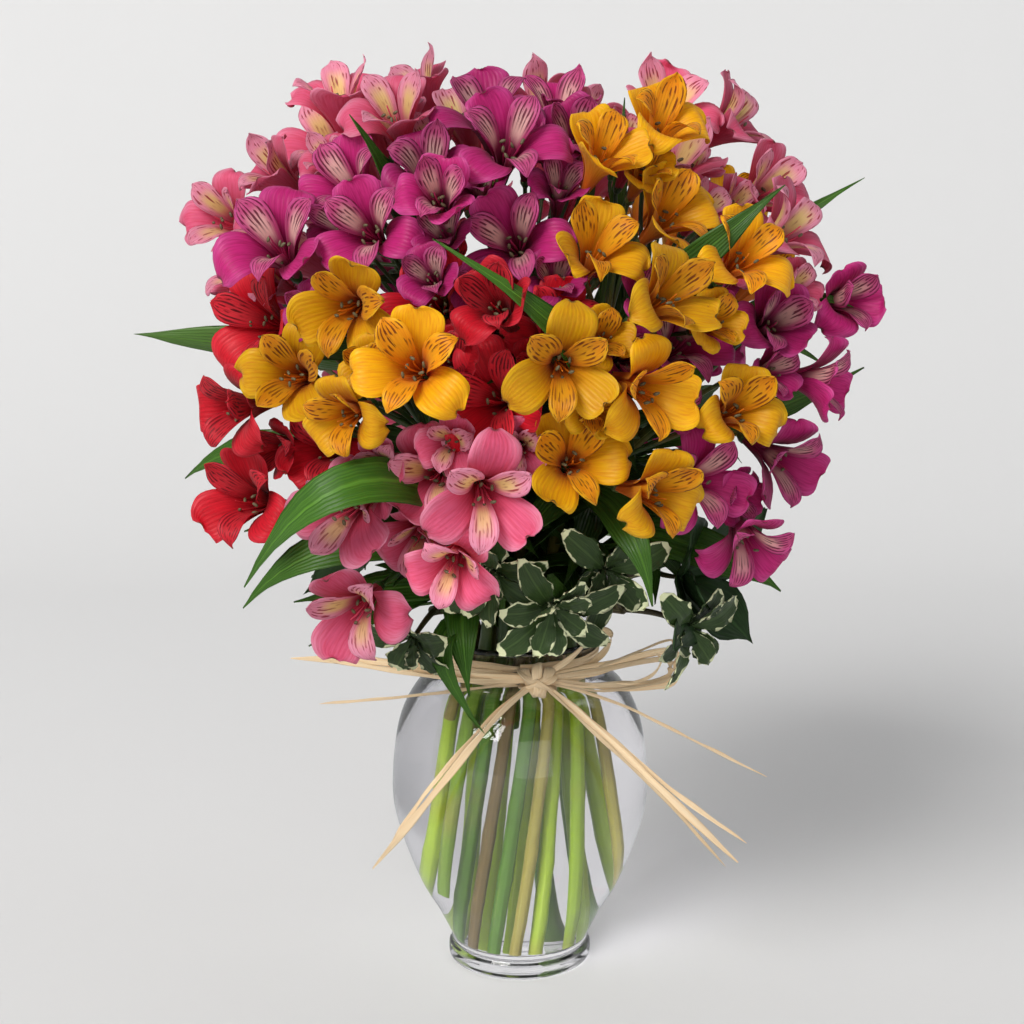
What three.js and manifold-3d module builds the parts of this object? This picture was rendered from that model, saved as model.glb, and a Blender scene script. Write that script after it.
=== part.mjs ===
// A bouquet of alstroemerias with mixed foliage in a clear glass vase of water, tied with raffia.
// Millimetres, +Z up. The origin is the centre of the vase's foot, and the bouquet's front faces -Y.
import * as THREE from "three";
import { mergeVertices } from "three/addons/utils/BufferGeometryUtils.js";
import Module from "manifold-3d";

const wasm = await Module();
wasm.setup();

// ---------------------------------------------------------------------------------------------------
// Driving sizes
// ---------------------------------------------------------------------------------------------------
const GAP = 0.35; // clear distance between two pieces that touch

const VASE = {
  segments: 27,
  wall: 2.8,
  floor: 11, // thickness of the glass under the water
  footRadius: 36.5,
  footHeight: 8,
  bodyRadius: 65,
  bodyHeight: 93, // where the body is widest
  shoulderRadius: 51.6,
  shoulderHeight: 146,
  neckRadius: 38,
  neckHeight: 160,
  rimRadius: 42.5,
  height: 171,
};

const WATER_LEVEL = 150;

// The flowers' mouths lie on this egg-shaped dome.
const DOME = {
  centre: new THREE.Vector3(4, 0, 300),
  radii: new THREE.Vector3(158, 140, 150),
  focus: new THREE.Vector3(4, 15, 280), // the flowers look away from here
};

const FLORET = {
  length: 34, // from the ovary to the mouth
  tubeAt: 13, // where the six tepals part
  tubeRadius: 4.6,
  throatAt: 9,
  shoulderAt: 26, // where a tepal is widest
  shoulderRadius: 14,
  outer: { halfAngle: 35, tipRadius: 24.5, tipAt: 32, thickness: 0.55 },
  inner: { halfAngle: 23, tipRadius: 20.5, tipAt: 35, thickness: 0.55 },
  cup: 1.6, // how far a tepal's edges stand in front of its middle
  stalkRadius: 1.3,
  apart: 43.5, // distance between the mouths of two flowers
  tubeClear: 31, // distance between one flower's mouth and another's tube
};

const UMBEL = {
  reach: 82, // from the umbel to the middle of its flowers' mouths
  radius: 3.6,
  height: 5,
};

const STEM = {
  sides: 5,
  radius: 3.1,
  steps: 6,
  bendLevel: 176, // a stem is straight up to here
  spiral: -50, // degrees that a stem turns round the vase's axis between its foot and the neck
  footRing: 1.06, // how much wider the ring of feet is than the ring at the neck
  innerRing: 13,
  outerRing: 26,
  apart: 8.9,
  glassClear: 2, // between a stem and the glass in the neck
  floorClear: 1.4, // between a stem's foot and the glass
  floorRoom: 28, // how far out a foot on the floor may stand
};

// ---------------------------------------------------------------------------------------------------
// The bouquet's plan. A flower is [x, z, push]: its mouth as seen from the front, and how far it
// stands out of the dome. A head that looks to the rear has side 1.
// ---------------------------------------------------------------------------------------------------
const COLOURS = { pink: 0xe0708c, magenta: 0x9b1c6e, yellow: 0xf0ac12, red: 0xc01526 };
const LEAF_GREEN = 0x2c4a22;
const STEM_GREEN = 0x76a02c;

const HEADS = [
  { name: "pink_top", colour: "pink", side: -1, flowers: [
    [-80, 440, 0], [-58, 450, 0], [-38, 440, 0], [-102, 420, 0], [-52, 425, 0], [-117, 403, 0]] },
  { name: "pink_left", colour: "pink", side: -1, flowers: [
    [-136, 360, 0], [-136, 385, 0], [-123, 375, -12]] },
  { name: "pink_right", colour: "pink", side: -1, flowers: [
    [79, 431, 0], [103, 422, 0], [117, 403, 0], [69, 417, -10], [128, 375, 5]] },
  { name: "pink_low", colour: "pink", side: -1, flowers: [
    [-69, 258, 0], [-68, 215, 5], [-51, 235, -5], [-38, 263, -5], [-13, 266, 5], [-28, 249, 5]] },
  { name: "magenta_top", colour: "magenta", side: -1, flowers: [
    [-11, 436, 0], [14, 439, 0], [33, 425, 0], [0, 409, 5], [-13, 387, 0]] },
  { name: "magenta_left", colour: "magenta", side: -1, flowers: [
    [-97, 378, 5], [-63, 384, 5], [-36, 389, 5], [-81, 400, 0], [-46, 407, 0]] },
  { name: "magenta_right", colour: "magenta", side: -1, flowers: [
    [81, 338, -5], [104, 339, 0], [148, 344, 10], [134, 318, 5]] },
  { name: "magenta_low", colour: "magenta", side: -1, flowers: [
    [93, 272, -5], [112, 274, -5], [102, 236, 5]] },
  { name: "yellow_right", colour: "yellow", side: -1, flowers: [
    [29, 404, 5], [52, 413, 0], [35, 377, 5], [53, 361, 10], [78, 388, 5], [85, 374, 5]] },
  { name: "yellow_left", colour: "yellow", side: -1, flowers: [
    [-66, 348, 10], [-45, 326, 10], [-98, 315, 5], [-78, 307, 15]] },
  { name: "yellow_mid", colour: "yellow", side: -1, flowers: [
    [16, 321, 10], [50, 314, 10], [16, 285, 5], [90, 305, 5], [59, 274, 10]] },
  { name: "red_left", colour: "red", side: -1, flowers: [
    [-123, 324, 0], [-126, 299, 0], [-129, 269, 5], [-100, 286, -20]] },
  { name: "red_mid", colour: "red", side: -1, flowers: [
    [-12, 346, 5], [-18, 319, 5], [6, 341, -10], [-39, 347, -15], [-10, 357, -14]] },
  { name: "pink_rear_top", colour: "pink", side: 1, flowers: [
    [5, 447, 0], [-15, 425, 0], [30, 425, 0], [-22, 390, 5], [25, 392, 0]] },
  { name: "magenta_rear", colour: "magenta", side: 1, flowers: [
    [-55, 425, 0], [-105, 390, 0], [-65, 388, 5], [-130, 350, 0], [-88, 350, 5]] },
  { name: "yellow_rear", colour: "yellow", side: 1, flowers: [
    [72, 422, 0], [70, 388, 5], [112, 385, 0], [132, 348, 0], [92, 350, 5]] },
  { name: "red_rear", colour: "red", side: 1, flowers: [
    [-44, 350, 0], [0, 352, 5], [46, 350, 0], [-28, 310, 5], [20, 310, 0]] },
  { name: "pink_rear_low", colour: "pink", side: 1, flowers: [
    [-120, 310, 0], [-75, 312, 0], [-105, 268, 0], [-60, 270, 5], [-12, 268, 0]] },
  { name: "magenta_rear_low", colour: "magenta", side: 1, flowers: [
    [66, 310, 0], [112, 308, 0], [36, 268, 5], [84, 265, 0]] },
];

// ---------------------------------------------------------------------------------------------------
// Small helpers: solids and their joins
// ---------------------------------------------------------------------------------------------------
const vec = (x, y, z) => new THREE.Vector3(x, y, z);
const rad = THREE.MathUtils.degToRad;

// A closed geometry as a solid for joining and cutting.
function solidOf(geometry) {
  const bare = geometry.clone();
  bare.deleteAttribute("normal");
  bare.deleteAttribute("uv");
  const merged = mergeVertices(bare, 1e-4);
  return new wasm.Manifold(
    new wasm.Mesh({
      numProp: 3,
      vertProperties: new Float32Array(merged.attributes.position.array),
      triVerts: new Uint32Array(merged.index.array),
    }),
  );
}

// Points and faces as a geometry.
function shell(points, faces) {
  const geometry = new THREE.BufferGeometry();
  geometry.setAttribute("position", new THREE.Float32BufferAttribute(points.flatMap((p) => p.toArray()), 3));
  geometry.setIndex(faces.flat());
  return geometry;
}

function geometryOf(solid) {
  const mesh = solid.getMesh();
  const geometry = new THREE.BufferGeometry();
  geometry.setAttribute("position", new THREE.BufferAttribute(new Float32Array(mesh.vertProperties), 3));
  geometry.setIndex(new THREE.BufferAttribute(new Uint32Array(mesh.triVerts), 1));
  geometry.computeVertexNormals();
  return geometry;
}

const joined = (solids) => solids.reduce((all, next) => all.add(next));

// The largest body of a solid: what a cut has severed is dropped.
function largestBody(solid) {
  const bodies = solid.decompose();
  return bodies.reduce((best, next) => (next.volume() > best.volume() ? next : best));
}

// ---------------------------------------------------------------------------------------------------
// Where everything stands
// ---------------------------------------------------------------------------------------------------

// A point of the dome from its place as seen from the front.
function onDome([x, z, push], side) {
  const across = (x - DOME.centre.x) / (DOME.radii.x + push);
  const up = (z - DOME.centre.z) / (DOME.radii.z + push);
  const depth = Math.sqrt(Math.max(0.004, 1 - across * across - up * up));
  return vec(x, DOME.centre.y + side * depth * (DOME.radii.y + push), z);
}

const outward = (mouth) => mouth.clone().sub(DOME.focus).normalize();

// Moves two points apart along the line between them until they are far enough from each other.
function pushApart(a, b, distance, share) {
  const between = b.clone().sub(a);
  const lack = distance - between.length();
  if (lack <= 0) return;
  between.normalize().multiplyScalar(lack * share);
  a.sub(between);
  b.add(between);
}

// The flowers crowd each other into their places.
function settleFlowers(flowers) {
  for (let round = 0; round < 80; round += 1) {
    flowers.forEach((a, i) => {
      flowers.slice(i + 1).forEach((b) => {
        pushApart(a.mouth, b.mouth, FLORET.apart, 0.25);
        const tubeA = a.mouth.clone().addScaledVector(outward(a.mouth), -0.6 * FLORET.length);
        const tubeB = b.mouth.clone().addScaledVector(outward(b.mouth), -0.6 * FLORET.length);
        pushApart(tubeA.clone(), b.mouth, FLORET.tubeClear, 0.25);
        pushApart(tubeB.clone(), a.mouth, FLORET.tubeClear, 0.25);
      });
    });
    flowers.forEach((f) => f.mouth.lerp(f.home, 0.03));
  }
}

const flowers = HEADS.flatMap((head) =>
  head.flowers.map((place) => {
    const mouth = onDome(place, head.side);
    return { head, mouth, home: mouth.clone() };
  }),
);
settleFlowers(flowers);

// Each umbel lies behind its flowers, between the way they look and the way from the vase's neck.
const NECK = vec(0, 0, 165);
for (const head of HEADS) {
  const own = flowers.filter((f) => f.head === head);
  const middle = own.reduce((sum, f) => sum.add(f.mouth), vec(0, 0, 0)).divideScalar(own.length);
  const towards = outward(middle).add(middle.clone().sub(NECK).normalize()).normalize();
  head.towards = towards;
  head.umbel = middle.clone().addScaledVector(towards, -UMBEL.reach);
}

// ---------------------------------------------------------------------------------------------------
// Stems: straight through the water in one spiral, then bending out to their heads
// ---------------------------------------------------------------------------------------------------
const SPRIGS = [
  { name: "pittosporum_front", umbel: vec(2, -72, 208), towards: vec(0.05, -0.8, 0.25) },
  { name: "pittosporum_right", umbel: vec(48, -62, 200), towards: vec(0.5, -0.7, 0.1) },
  { name: "pittosporum_left", umbel: vec(-42, -50, 196), towards: vec(-0.5, -0.6, 0) },
  { name: "broadleaf_right", umbel: vec(66, -30, 212), towards: vec(0.9, -0.3, 0.2) },
  { name: "broadleaf_left", umbel: vec(-62, 14, 208), towards: vec(-0.9, 0.1, 0.2) },
  { name: "broadleaf_rear", umbel: vec(10, 66, 210), towards: vec(0.1, 0.9, 0.2) },
];

const turned = (point, degrees) => point.clone().applyAxisAngle(vec(0, 0, 1), rad(degrees));

// The nearest points of two stems' straight stretches.
function nearest(a, b) {
  const alongA = a.neck.clone().sub(a.foot);
  const alongB = b.neck.clone().sub(b.foot);
  const offset = a.foot.clone().sub(b.foot);
  const aa = alongA.dot(alongA);
  const bb = alongB.dot(alongB);
  const ab = alongA.dot(alongB);
  const ao = alongA.dot(offset);
  const bo = alongB.dot(offset);
  const spread = aa * bb - ab * ab;
  const s = THREE.MathUtils.clamp(spread > 1e-6 ? (ab * bo - bb * ao) / spread : 0.5, 0, 1);
  const t = THREE.MathUtils.clamp((ab * s + bo) / bb, 0, 1);
  const sAgain = THREE.MathUtils.clamp((ab * t - ao) / aa, 0, 1);
  return { s: sAgain, t };
}

function keepWithin(point, radius) {
  const reach = Math.hypot(point.x, point.y);
  if (reach <= radius) return;
  point.x *= radius / reach;
  point.y *= radius / reach;
}

const neckRoom = VASE.neckRadius - VASE.wall - STEM.radius - STEM.glassClear;
const floorLevel = VASE.floor + STEM.floorClear;

// The feet of the stems that don't follow the spiral: some were cut shorter or lean on the glass.
const FEET = {
  red_mid: vec(-14, -6, floorLevel),
  magenta_right: vec(7, -22, floorLevel),
  magenta_low: vec(22, -17, floorLevel),
  pink_right: vec(26, -5, floorLevel),
  yellow_rear: vec(24, 13, floorLevel),
  pink_rear_top: vec(10, 24, floorLevel),
  pink_left: vec(-18, 20, floorLevel),
  yellow_left: vec(-34, -22, 44),
  pittosporum_left: vec(-30, -12, 128),
  red_left: vec(-33, 12, 34),
  broadleaf_left: vec(-31, 14, 126),
  broadleaf_right: vec(41, -4, 44),
  magenta_rear_low: vec(34, 12, 34),
  broadleaf_rear: vec(12, 31, 120),
  red_rear: vec(2, 33, 116),
  pink_rear_low: vec(-14, 31, 122),
  magenta_rear: vec(-7, 20, 112),
  pink_top: vec(-20, 1, 114),
  magenta_left: vec(-12, -8, 118),
  magenta_top: vec(-2, -9, 122),
};

function settleStems(stems) {
  for (let round = 0; round < 200; round += 1) {
    stems.forEach((a, i) => {
      stems.slice(i + 1).forEach((b) => {
        const { s, t } = nearest(a, b);
        const onA = a.foot.clone().lerp(a.neck, s);
        const onB = b.foot.clone().lerp(b.neck, t);
        const away = onB.clone().sub(onA);
        away.z = 0;
        const lack = STEM.apart - onA.distanceTo(onB);
        if (lack <= 0) return;
        away.normalize().multiplyScalar(lack * 0.3);
        a.neck.addScaledVector(away, -s);
        a.foot.addScaledVector(away, s - 1);
        b.neck.addScaledVector(away, t);
        b.foot.addScaledVector(away, 1 - t);
      });
    });
    stems.forEach((stem) => {
      keepWithin(stem.neck, neckRoom);
      keepWithin(stem.foot, stem.footRoom);
    });
  }
}

const plants = [...HEADS, ...SPRIGS];
plants.forEach((plant) => {
  const bearing = vec(plant.umbel.x, plant.umbel.y, 0);
  const high = plant.umbel.z > 290 || bearing.length() < 28;
  const ring = high ? STEM.innerRing : STEM.outerRing;
  plant.neck = bearing.clone().setLength(ring).setZ(STEM.bendLevel);
  plant.foot = turned(bearing.clone().setLength(ring * STEM.footRing), STEM.spiral);
  plant.foot.z = floorLevel;
  plant.foot.copy(FEET[plant.name] ?? plant.foot);
  plant.footRoom = Math.max(STEM.floorRoom, Math.hypot(plant.foot.x, plant.foot.y));
});
settleStems(plants);

// The curve of a stem: a straight stretch from its foot, and a bend that ends under its umbel.
function stemPath(plant) {
  const rise = plant.neck.clone().sub(plant.foot).normalize();
  const span = plant.umbel.distanceTo(plant.neck);
  const path = new THREE.CurvePath();
  path.add(new THREE.LineCurve3(plant.foot, plant.neck));
  path.add(new THREE.CubicBezierCurve3(
    plant.neck,
    plant.neck.clone().addScaledVector(rise, span / 3),
    plant.umbel.clone().addScaledVector(plant.towards, -span / 3),
    plant.umbel,
  ));
  return path;
}

function ring(sides, radius) {
  return new THREE.Shape(Array.from({ length: sides }, (_, i) => {
    const turn = (2 * Math.PI * i) / sides;
    return new THREE.Vector2(radius * Math.cos(turn), radius * Math.sin(turn));
  }));
}

function tube(path, sides, radius, steps) {
  return solidOf(new THREE.ExtrudeGeometry(ring(sides, radius), { extrudePath: path, steps, bevelEnabled: false }));
}

// ---------------------------------------------------------------------------------------------------
// Pieces of a plant. Each is a maker that gives its solid, also grown by some millimetres on all
// sides, which is what a neighbour is cut back by.
// ---------------------------------------------------------------------------------------------------

// A place in a flower: around its axis, out from the axis, and along it.
function flowerFrame(base, direction) {
  const level = vec(0, 0, 1).cross(direction).normalize();
  const top = direction.clone().cross(level);
  const across = direction.clone().cross(top);
  return (degrees, radius, along) => base.clone()
    .addScaledVector(direction, along)
    .addScaledVector(top, radius * Math.cos(rad(degrees)))
    .addScaledVector(across, radius * Math.sin(rad(degrees)));
}

// A floret: a stalk with three sides that widens into a tube, which parts into three broad outer
// tepals and three narrow inner ones. All of it is one shell.
function floret(root, base, direction, grow = 0) {
  const at = flowerFrame(base, direction);
  const points = [at(0, 0, FLORET.throatAt + 1.8 * grow)];
  const faces = [];
  const add = (...where) => points.push(at(...where)) - 1;
  const throat = 0;
  const stalkRadius = FLORET.stalkRadius + 2 * grow;
  const parting = Array.from({ length: 6 }, (_, k) => add(60 * k - 30, FLORET.tubeRadius + grow, FLORET.tubeAt));
  const foot = Array.from({ length: 3 }, (_, k) => add(120 * k - 30, stalkRadius, -grow));
  const below = root.clone().sub(base);
  const start = foot.map((k) => points.push(points[k].clone().add(below)) - 1);
  faces.push([start[0], start[2], start[1]]);
  for (let k = 0; k < 3; k += 1) {
    const next = (k + 1) % 3;
    const [a, b, c] = [parting[2 * k], parting[2 * k + 1], parting[(2 * k + 2) % 6]];
    faces.push([start[k], start[next], foot[next]], [start[k], foot[next], foot[k]]);
    faces.push([foot[k], foot[next], b], [foot[k], b, a], [foot[next], c, b]);
  }
  for (let k = 0; k < 6; k += 1) {
    const kind = k % 2 === 0 ? FLORET.outer : FLORET.inner;
    const middle = 60 * k;
    const half = kind.halfAngle + THREE.MathUtils.radToDeg(grow / FLORET.shoulderRadius);
    const bulge = 0.7 * (kind.thickness + grow);
    const [a, b] = [parting[k], parting[(k + 1) % 6]];
    const radius = FLORET.shoulderRadius;
    const left = add(middle - half, radius, FLORET.shoulderAt + FLORET.cup);
    const right = add(middle + half, radius, FLORET.shoulderAt + FLORET.cup);
    const front = add(middle, radius - bulge, FLORET.shoulderAt + bulge);
    const back = add(middle, radius + bulge, FLORET.shoulderAt - bulge);
    const slope = new THREE.Vector2(kind.tipRadius - radius, kind.tipAt - FLORET.shoulderAt).setLength(3 * grow);
    const tip = add(middle, kind.tipRadius + slope.x, kind.tipAt + slope.y);
    faces.push([a, b, back], [a, back, left], [b, right, back]);
    faces.push([throat, a, left], [throat, left, front], [throat, front, right], [throat, right, b]);
    faces.push([left, back, tip], [back, right, tip], [right, front, tip], [front, left, tip]);
  }
  return solidOf(shell(points, faces));
}

// A leaf along a curve, lens-shaped across, with its widths given from base to tip.
function blade({ curve, facing, widths, thickness, twist = 0 }, grow = 0) {
  const points = [curve.getPoint(0)];
  const faces = [];
  const rows = widths.map((width, row) => {
    const t = (row + 1) / (widths.length + 1);
    const middle = curve.getPoint(t);
    const along = curve.getTangent(t).normalize();
    const across = along.clone().cross(facing).normalize().applyAxisAngle(along, rad(twist * t));
    const up = across.clone().cross(along);
    const half = width / 2 + grow;
    const bulge = thickness / 2 + grow;
    return [[across, -half], [up, bulge], [across, half], [up, -bulge]].map(([way, size]) =>
      points.push(middle.clone().addScaledVector(way, size)) - 1);
  });
  const tip = points.push(curve.getPoint(1)) - 1;
  for (let k = 0; k < 4; k += 1) {
    const next = (k + 1) % 4;
    faces.push([0, rows[0][next], rows[0][k]]);
    for (let row = 1; row < rows.length; row += 1) {
      const [low, high] = [rows[row - 1], rows[row]];
      faces.push([low[k], low[next], high[k]], [low[next], high[next], high[k]]);
    }
    const last = rows[rows.length - 1];
    faces.push([last[k], last[next], tip]);
  }
  return solidOf(shell(points, faces));
}

// ---------------------------------------------------------------------------------------------------
// The plants' pieces, each with a box to find its neighbours quickly
// ---------------------------------------------------------------------------------------------------

// Stems and flowers keep clear of each other by their places. A leaf is cut back from them, and from
// the leaves that come before it.
const pieces = [];

function addPiece(node, make, isLeaf = false) {
  const solid = make(0);
  pieces.push({ node, make, solid, isLeaf, box: solid.boundingBox(), order: pieces.length });
}

function addStem(plant, node, radius) {
  const path = stemPath(plant);
  addPiece(node, (grow) => tube(path, STEM.sides, radius + 1.3 * grow, STEM.steps));
}

function addHead(head) {
  const node = `${head.name}_flowers`;
  const start = head.umbel.clone().addScaledVector(head.towards, GAP);
  const knob = new THREE.LineCurve3(start, start.clone().addScaledVector(head.towards, UMBEL.height));
  addPiece(node, (grow) => tube(knob, 5, UMBEL.radius + 1.3 * grow, 1));
  const root = start.clone().addScaledVector(head.towards, UMBEL.height / 2);
  for (const flower of flowers.filter((f) => f.head === head)) {
    const direction = outward(flower.mouth);
    const base = flower.mouth.clone().addScaledVector(direction, -FLORET.length);
    addPiece(node, (grow) => floret(root, base, direction, grow));
  }
}

// A leaf that grows from a stem's bend: `from` is how far along the bend, and its curve passes
// towards `via` before it ends at `tip`.
const LEAVES = [
  { plant: "pink_left", from: 0.95, via: [-122, -20, 320], tip: [-188, 0, 322], width: 14 },
  { plant: "red_left", from: 0.9, via: [-128, -42, 288], tip: [-164, -8, 252], width: 18 },
  { plant: "red_left", from: 0.6, via: [-85, -50, 250], tip: [-131, -42, 233], width: 15 },
  { plant: "pink_low", from: 0.9, via: [-50, -128, 324], tip: [-112, -82, 236], width: 18 },
  { plant: "pink_low", from: 0.6, via: [-88, -100, 258], tip: [-130, -60, 200], width: 19 },
  { plant: "pink_low", from: 0.4, via: [-60, -72, 215], tip: [-107, -52, 201], width: 13 },
  { plant: "red_left", from: 0.3, via: [-60, -45, 200], tip: [-101, -47, 178], width: 12 },
  { plant: "red_mid", from: 0.95, via: [72, -150, 314], tip: [-34, -134, 374], width: 14 },
  { plant: "magenta_left", from: 0.95, via: [-50, -64, 392], tip: [-74, -84, 426], width: 11 },
  { plant: "yellow_right", from: 0.95, via: [56, -112, 350], tip: [104, -102, 391], width: 14 },
  { plant: "magenta_top", from: 0.95, via: [46, -43, 400], tip: [24, -62, 434], width: 8 },
  { plant: "yellow_right", from: 0.9, via: [48, -30, 395], tip: [48, -22, 434], width: 7 },
  { plant: "pink_right", from: 0.95, via: [118, -8, 372], tip: [164, -4, 397], width: 7 },
  { plant: "magenta_right", from: 0.9, via: [110, -58, 362], tip: [152, -54, 340], width: 13 },
  { plant: "magenta_right", from: 0.8, via: [118, -48, 288], tip: [160, -40, 311], width: 11 },
  { plant: "yellow_mid", from: 0.85, via: [48, -128, 268], tip: [57, -124, 218], width: 15 },
  { plant: "magenta_low", from: 0.8, via: [90, -70, 235], tip: [122, -58, 208], width: 18 },
  { plant: "pink_low", from: 0.2, via: [-46, -84, 214], tip: [-17, -70, 142], width: 15 },
  { plant: "red_left", from: 0.15, via: [-36, -72, 206], tip: [-24, -66, 162], width: 14 },
  { plant: "magenta_rear", from: 0.9, via: [-100, 80, 310], tip: [-150, 66, 300], width: 13 },
  { plant: "pink_rear_low", from: 0.8, via: [-80, 90, 250], tip: [-122, 92, 205], width: 15 },
  { plant: "pink_rear_low", from: 0.5, via: [-50, 100, 235], tip: [-66, 122, 190], width: 14 },
  { plant: "red_rear", from: 0.9, via: [-30, 125, 285], tip: [-52, 150, 250], width: 14 },
  { plant: "red_rear", from: 0.7, via: [20, 120, 275], tip: [24, 152, 232], width: 15 },
  { plant: "magenta_rear_low", from: 0.8, via: [80, 95, 250], tip: [118, 100, 208], width: 15 },
  { plant: "magenta_rear_low", from: 0.4, via: [60, 90, 215], tip: [84, 100, 180], width: 13 },
  { plant: "yellow_rear", from: 0.9, via: [115, 75, 330], tip: [158, 60, 300], width: 14 },
  { plant: "pink_rear_top", from: 0.95, via: [-10, 100, 400], tip: [-24, 128, 392], width: 11 },
];

const place = (list) => vec(...list);

function addLeaf({ plant: name, from, via, tip, width }) {
  const plant = plants.find((p) => p.name === name);
  const start = stemPath(plant).curves[1].getPoint(from);
  const curve = new THREE.QuadraticBezierCurve3(start, place(via), place(tip));
  const facing = place(via).sub(start.clone().lerp(place(tip), 0.5)).normalize();
  const widths = [0.75, 1, 0.6].map((share) => share * width);
  addPiece(`${name}_stem`, (grow) => blade({ curve, facing, widths, thickness: 1.3, twist: 20 }, grow), true);
}

// A spray of small leaves round the end of a twig.
function addWhorl(node, centre, towards, { count, reach, width, open, turn }) {
  const level = vec(0, 0, 1).cross(towards).normalize();
  const top = towards.clone().cross(level);
  for (let k = 0; k < count; k += 1) {
    const angle = turn + (2 * Math.PI * k) / count;
    const size = reach * (k % 2 === 0 ? 1 : 0.82);
    const out = level.clone().multiplyScalar(Math.cos(angle)).addScaledVector(top, Math.sin(angle));
    const lean = rad(open - (k % 2 === 0 ? 0 : 22));
    const way = towards.clone().multiplyScalar(Math.cos(lean)).addScaledVector(out, Math.sin(lean));
    const start = centre.clone().addScaledVector(towards, -2.5);
    const via = start.clone().addScaledVector(towards, size * 0.35).addScaledVector(out, size * 0.35);
    const curve = new THREE.QuadraticBezierCurve3(start, via, start.clone().addScaledVector(way, size));
    const widths = [0.42, 1].map((share) => share * width);
    addPiece(node, (grow) => blade({ curve, facing: towards, widths, thickness: 1.4 }, grow), true);
  }
}

const WHORL = { count: 6, reach: 31, width: 17, open: 74, turn: 0.3 };
const TWIGS = [
  { plant: "pittosporum_front", whorl: WHORL, ends: [
    [[-14, -98, 226], [-0.25, -0.9, 0.1]], [[14, -102, 208], [0.1, -0.95, -0.25]]] },
  { plant: "pittosporum_right", whorl: WHORL, ends: [
    [[38, -92, 226], [0.35, -0.9, 0.1]], [[76, -78, 196], [0.6, -0.7, -0.35]]] },
  { plant: "pittosporum_left", whorl: { ...WHORL, count: 5, reach: 25 }, ends: [
    [[-50, -70, 188], [-0.4, -0.7, -0.5]]] },
  { plant: "broadleaf_right", whorl: { count: 4, reach: 58, width: 31, open: 66, turn: 0.5 }, ends: [
    [[76, -48, 212], [0.7, -0.62, 0.1]]] },
  { plant: "broadleaf_left", whorl: { count: 4, reach: 56, width: 30, open: 62, turn: 0.9 }, ends: [
    [[-74, 12, 212], [-0.95, 0.05, 0.1]]] },
  { plant: "broadleaf_rear", whorl: { count: 4, reach: 58, width: 32, open: 64, turn: 0.2 }, ends: [
    [[12, 84, 214], [0.1, 0.95, 0.1]]] },
];

function addTwigs({ plant: name, whorl, ends }) {
  const plant = plants.find((p) => p.name === name);
  const node = `${name}_sprig`;
  addStem(plant, node, STEM.radius - 0.4);
  for (const [centre, towards] of ends) {
    const way = place(towards).normalize();
    const end = place(centre);
    const root = plant.umbel.clone().addScaledVector(plant.towards.clone().normalize(), -2);
    const twig = new THREE.QuadraticBezierCurve3(root, end.clone().addScaledVector(way, -14), end);
    addPiece(node, (grow) => tube(twig, 4, 1.6 + 1.3 * grow, 2));
    addWhorl(node, end, way, whorl);
  }
}

HEADS.forEach((head) => addStem(head, `${head.name}_stem`, STEM.radius));
HEADS.forEach(addHead);
TWIGS.forEach(addTwigs);
LEAVES.forEach(addLeaf);

const boxesMeet = (a, b) => [0, 1, 2].every((i) =>
  a.min[i] - 1 < b.max[i] && b.min[i] - 1 < a.max[i]);

// A leaf without what stands in its way in other nodes.
function cutBack(leaf) {
  const inTheWay = pieces.filter((other) =>
    other.node !== leaf.node && (!other.isLeaf || other.order < leaf.order) && boxesMeet(leaf.box, other.box));
  return inTheWay.reduce((left, other) => {
    const grown = other.make(GAP);
    return left.intersect(grown).volume() > 0 ? left.subtract(grown) : left;
  }, leaf.solid);
}

function fusedNode(node) {
  const own = pieces.filter((piece) => piece.node === node);
  return largestBody(joined(own.map((piece) => (piece.isLeaf ? cutBack(piece) : piece.solid))));
}

// ---------------------------------------------------------------------------------------------------
// Vase and water
// ---------------------------------------------------------------------------------------------------

// The outside of the glass from above the foot to the lip: radius and height.
const OUTSIDE = [
  [34.8, 12],
  [42.5, 28],
  [51.5, 44],
  [61.4, 71],
  [VASE.bodyRadius, VASE.bodyHeight],
  [61.4, 126],
  [VASE.shoulderRadius, VASE.shoulderHeight],
  [39.4, 154],
  [VASE.neckRadius, VASE.neckHeight],
  [39.2, 167],
  [VASE.rimRadius, VASE.height],
].map(([radius, height]) => new THREE.Vector2(radius, height));
const outsideCurve = new THREE.SplineCurve(OUTSIDE);

// The inside of the glass, one wall further in.
const inside = OUTSIDE.map((point, i) => {
  const along = outsideCurve.getTangent(i / (OUTSIDE.length - 1));
  return new THREE.Vector2(point.x - VASE.wall * along.y, point.y + VASE.wall * along.x);
}).filter((point) => point.y > VASE.floor + 2);
const floorCorner = new THREE.Vector2(inside[0].x - 1.6, VASE.floor);

// The outer radius of the glass at a height.
function glassRadius(height) {
  const i = OUTSIDE.findIndex((point) => point.y >= height);
  const [low, high] = [OUTSIDE[i - 1], OUTSIDE[i]];
  return THREE.MathUtils.mapLinear(height, low.y, high.y, low.x, high.x);
}

function turnedSolid(profile, segments) {
  const geometry = new THREE.LatheGeometry(profile, segments);
  geometry.rotateX(Math.PI / 2);
  return solidOf(geometry);
}

function vaseSolid() {
  const foot = [[0, 0], [33.5, 0], [VASE.footRadius, 2], [VASE.footRadius, VASE.footHeight]];
  const profile = [
    ...foot.map(([radius, height]) => new THREE.Vector2(radius, height)),
    ...OUTSIDE,
    ...inside.slice().reverse(),
    floorCorner,
    new THREE.Vector2(0, VASE.floor),
  ];
  return turnedSolid(profile, VASE.segments);
}

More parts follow.
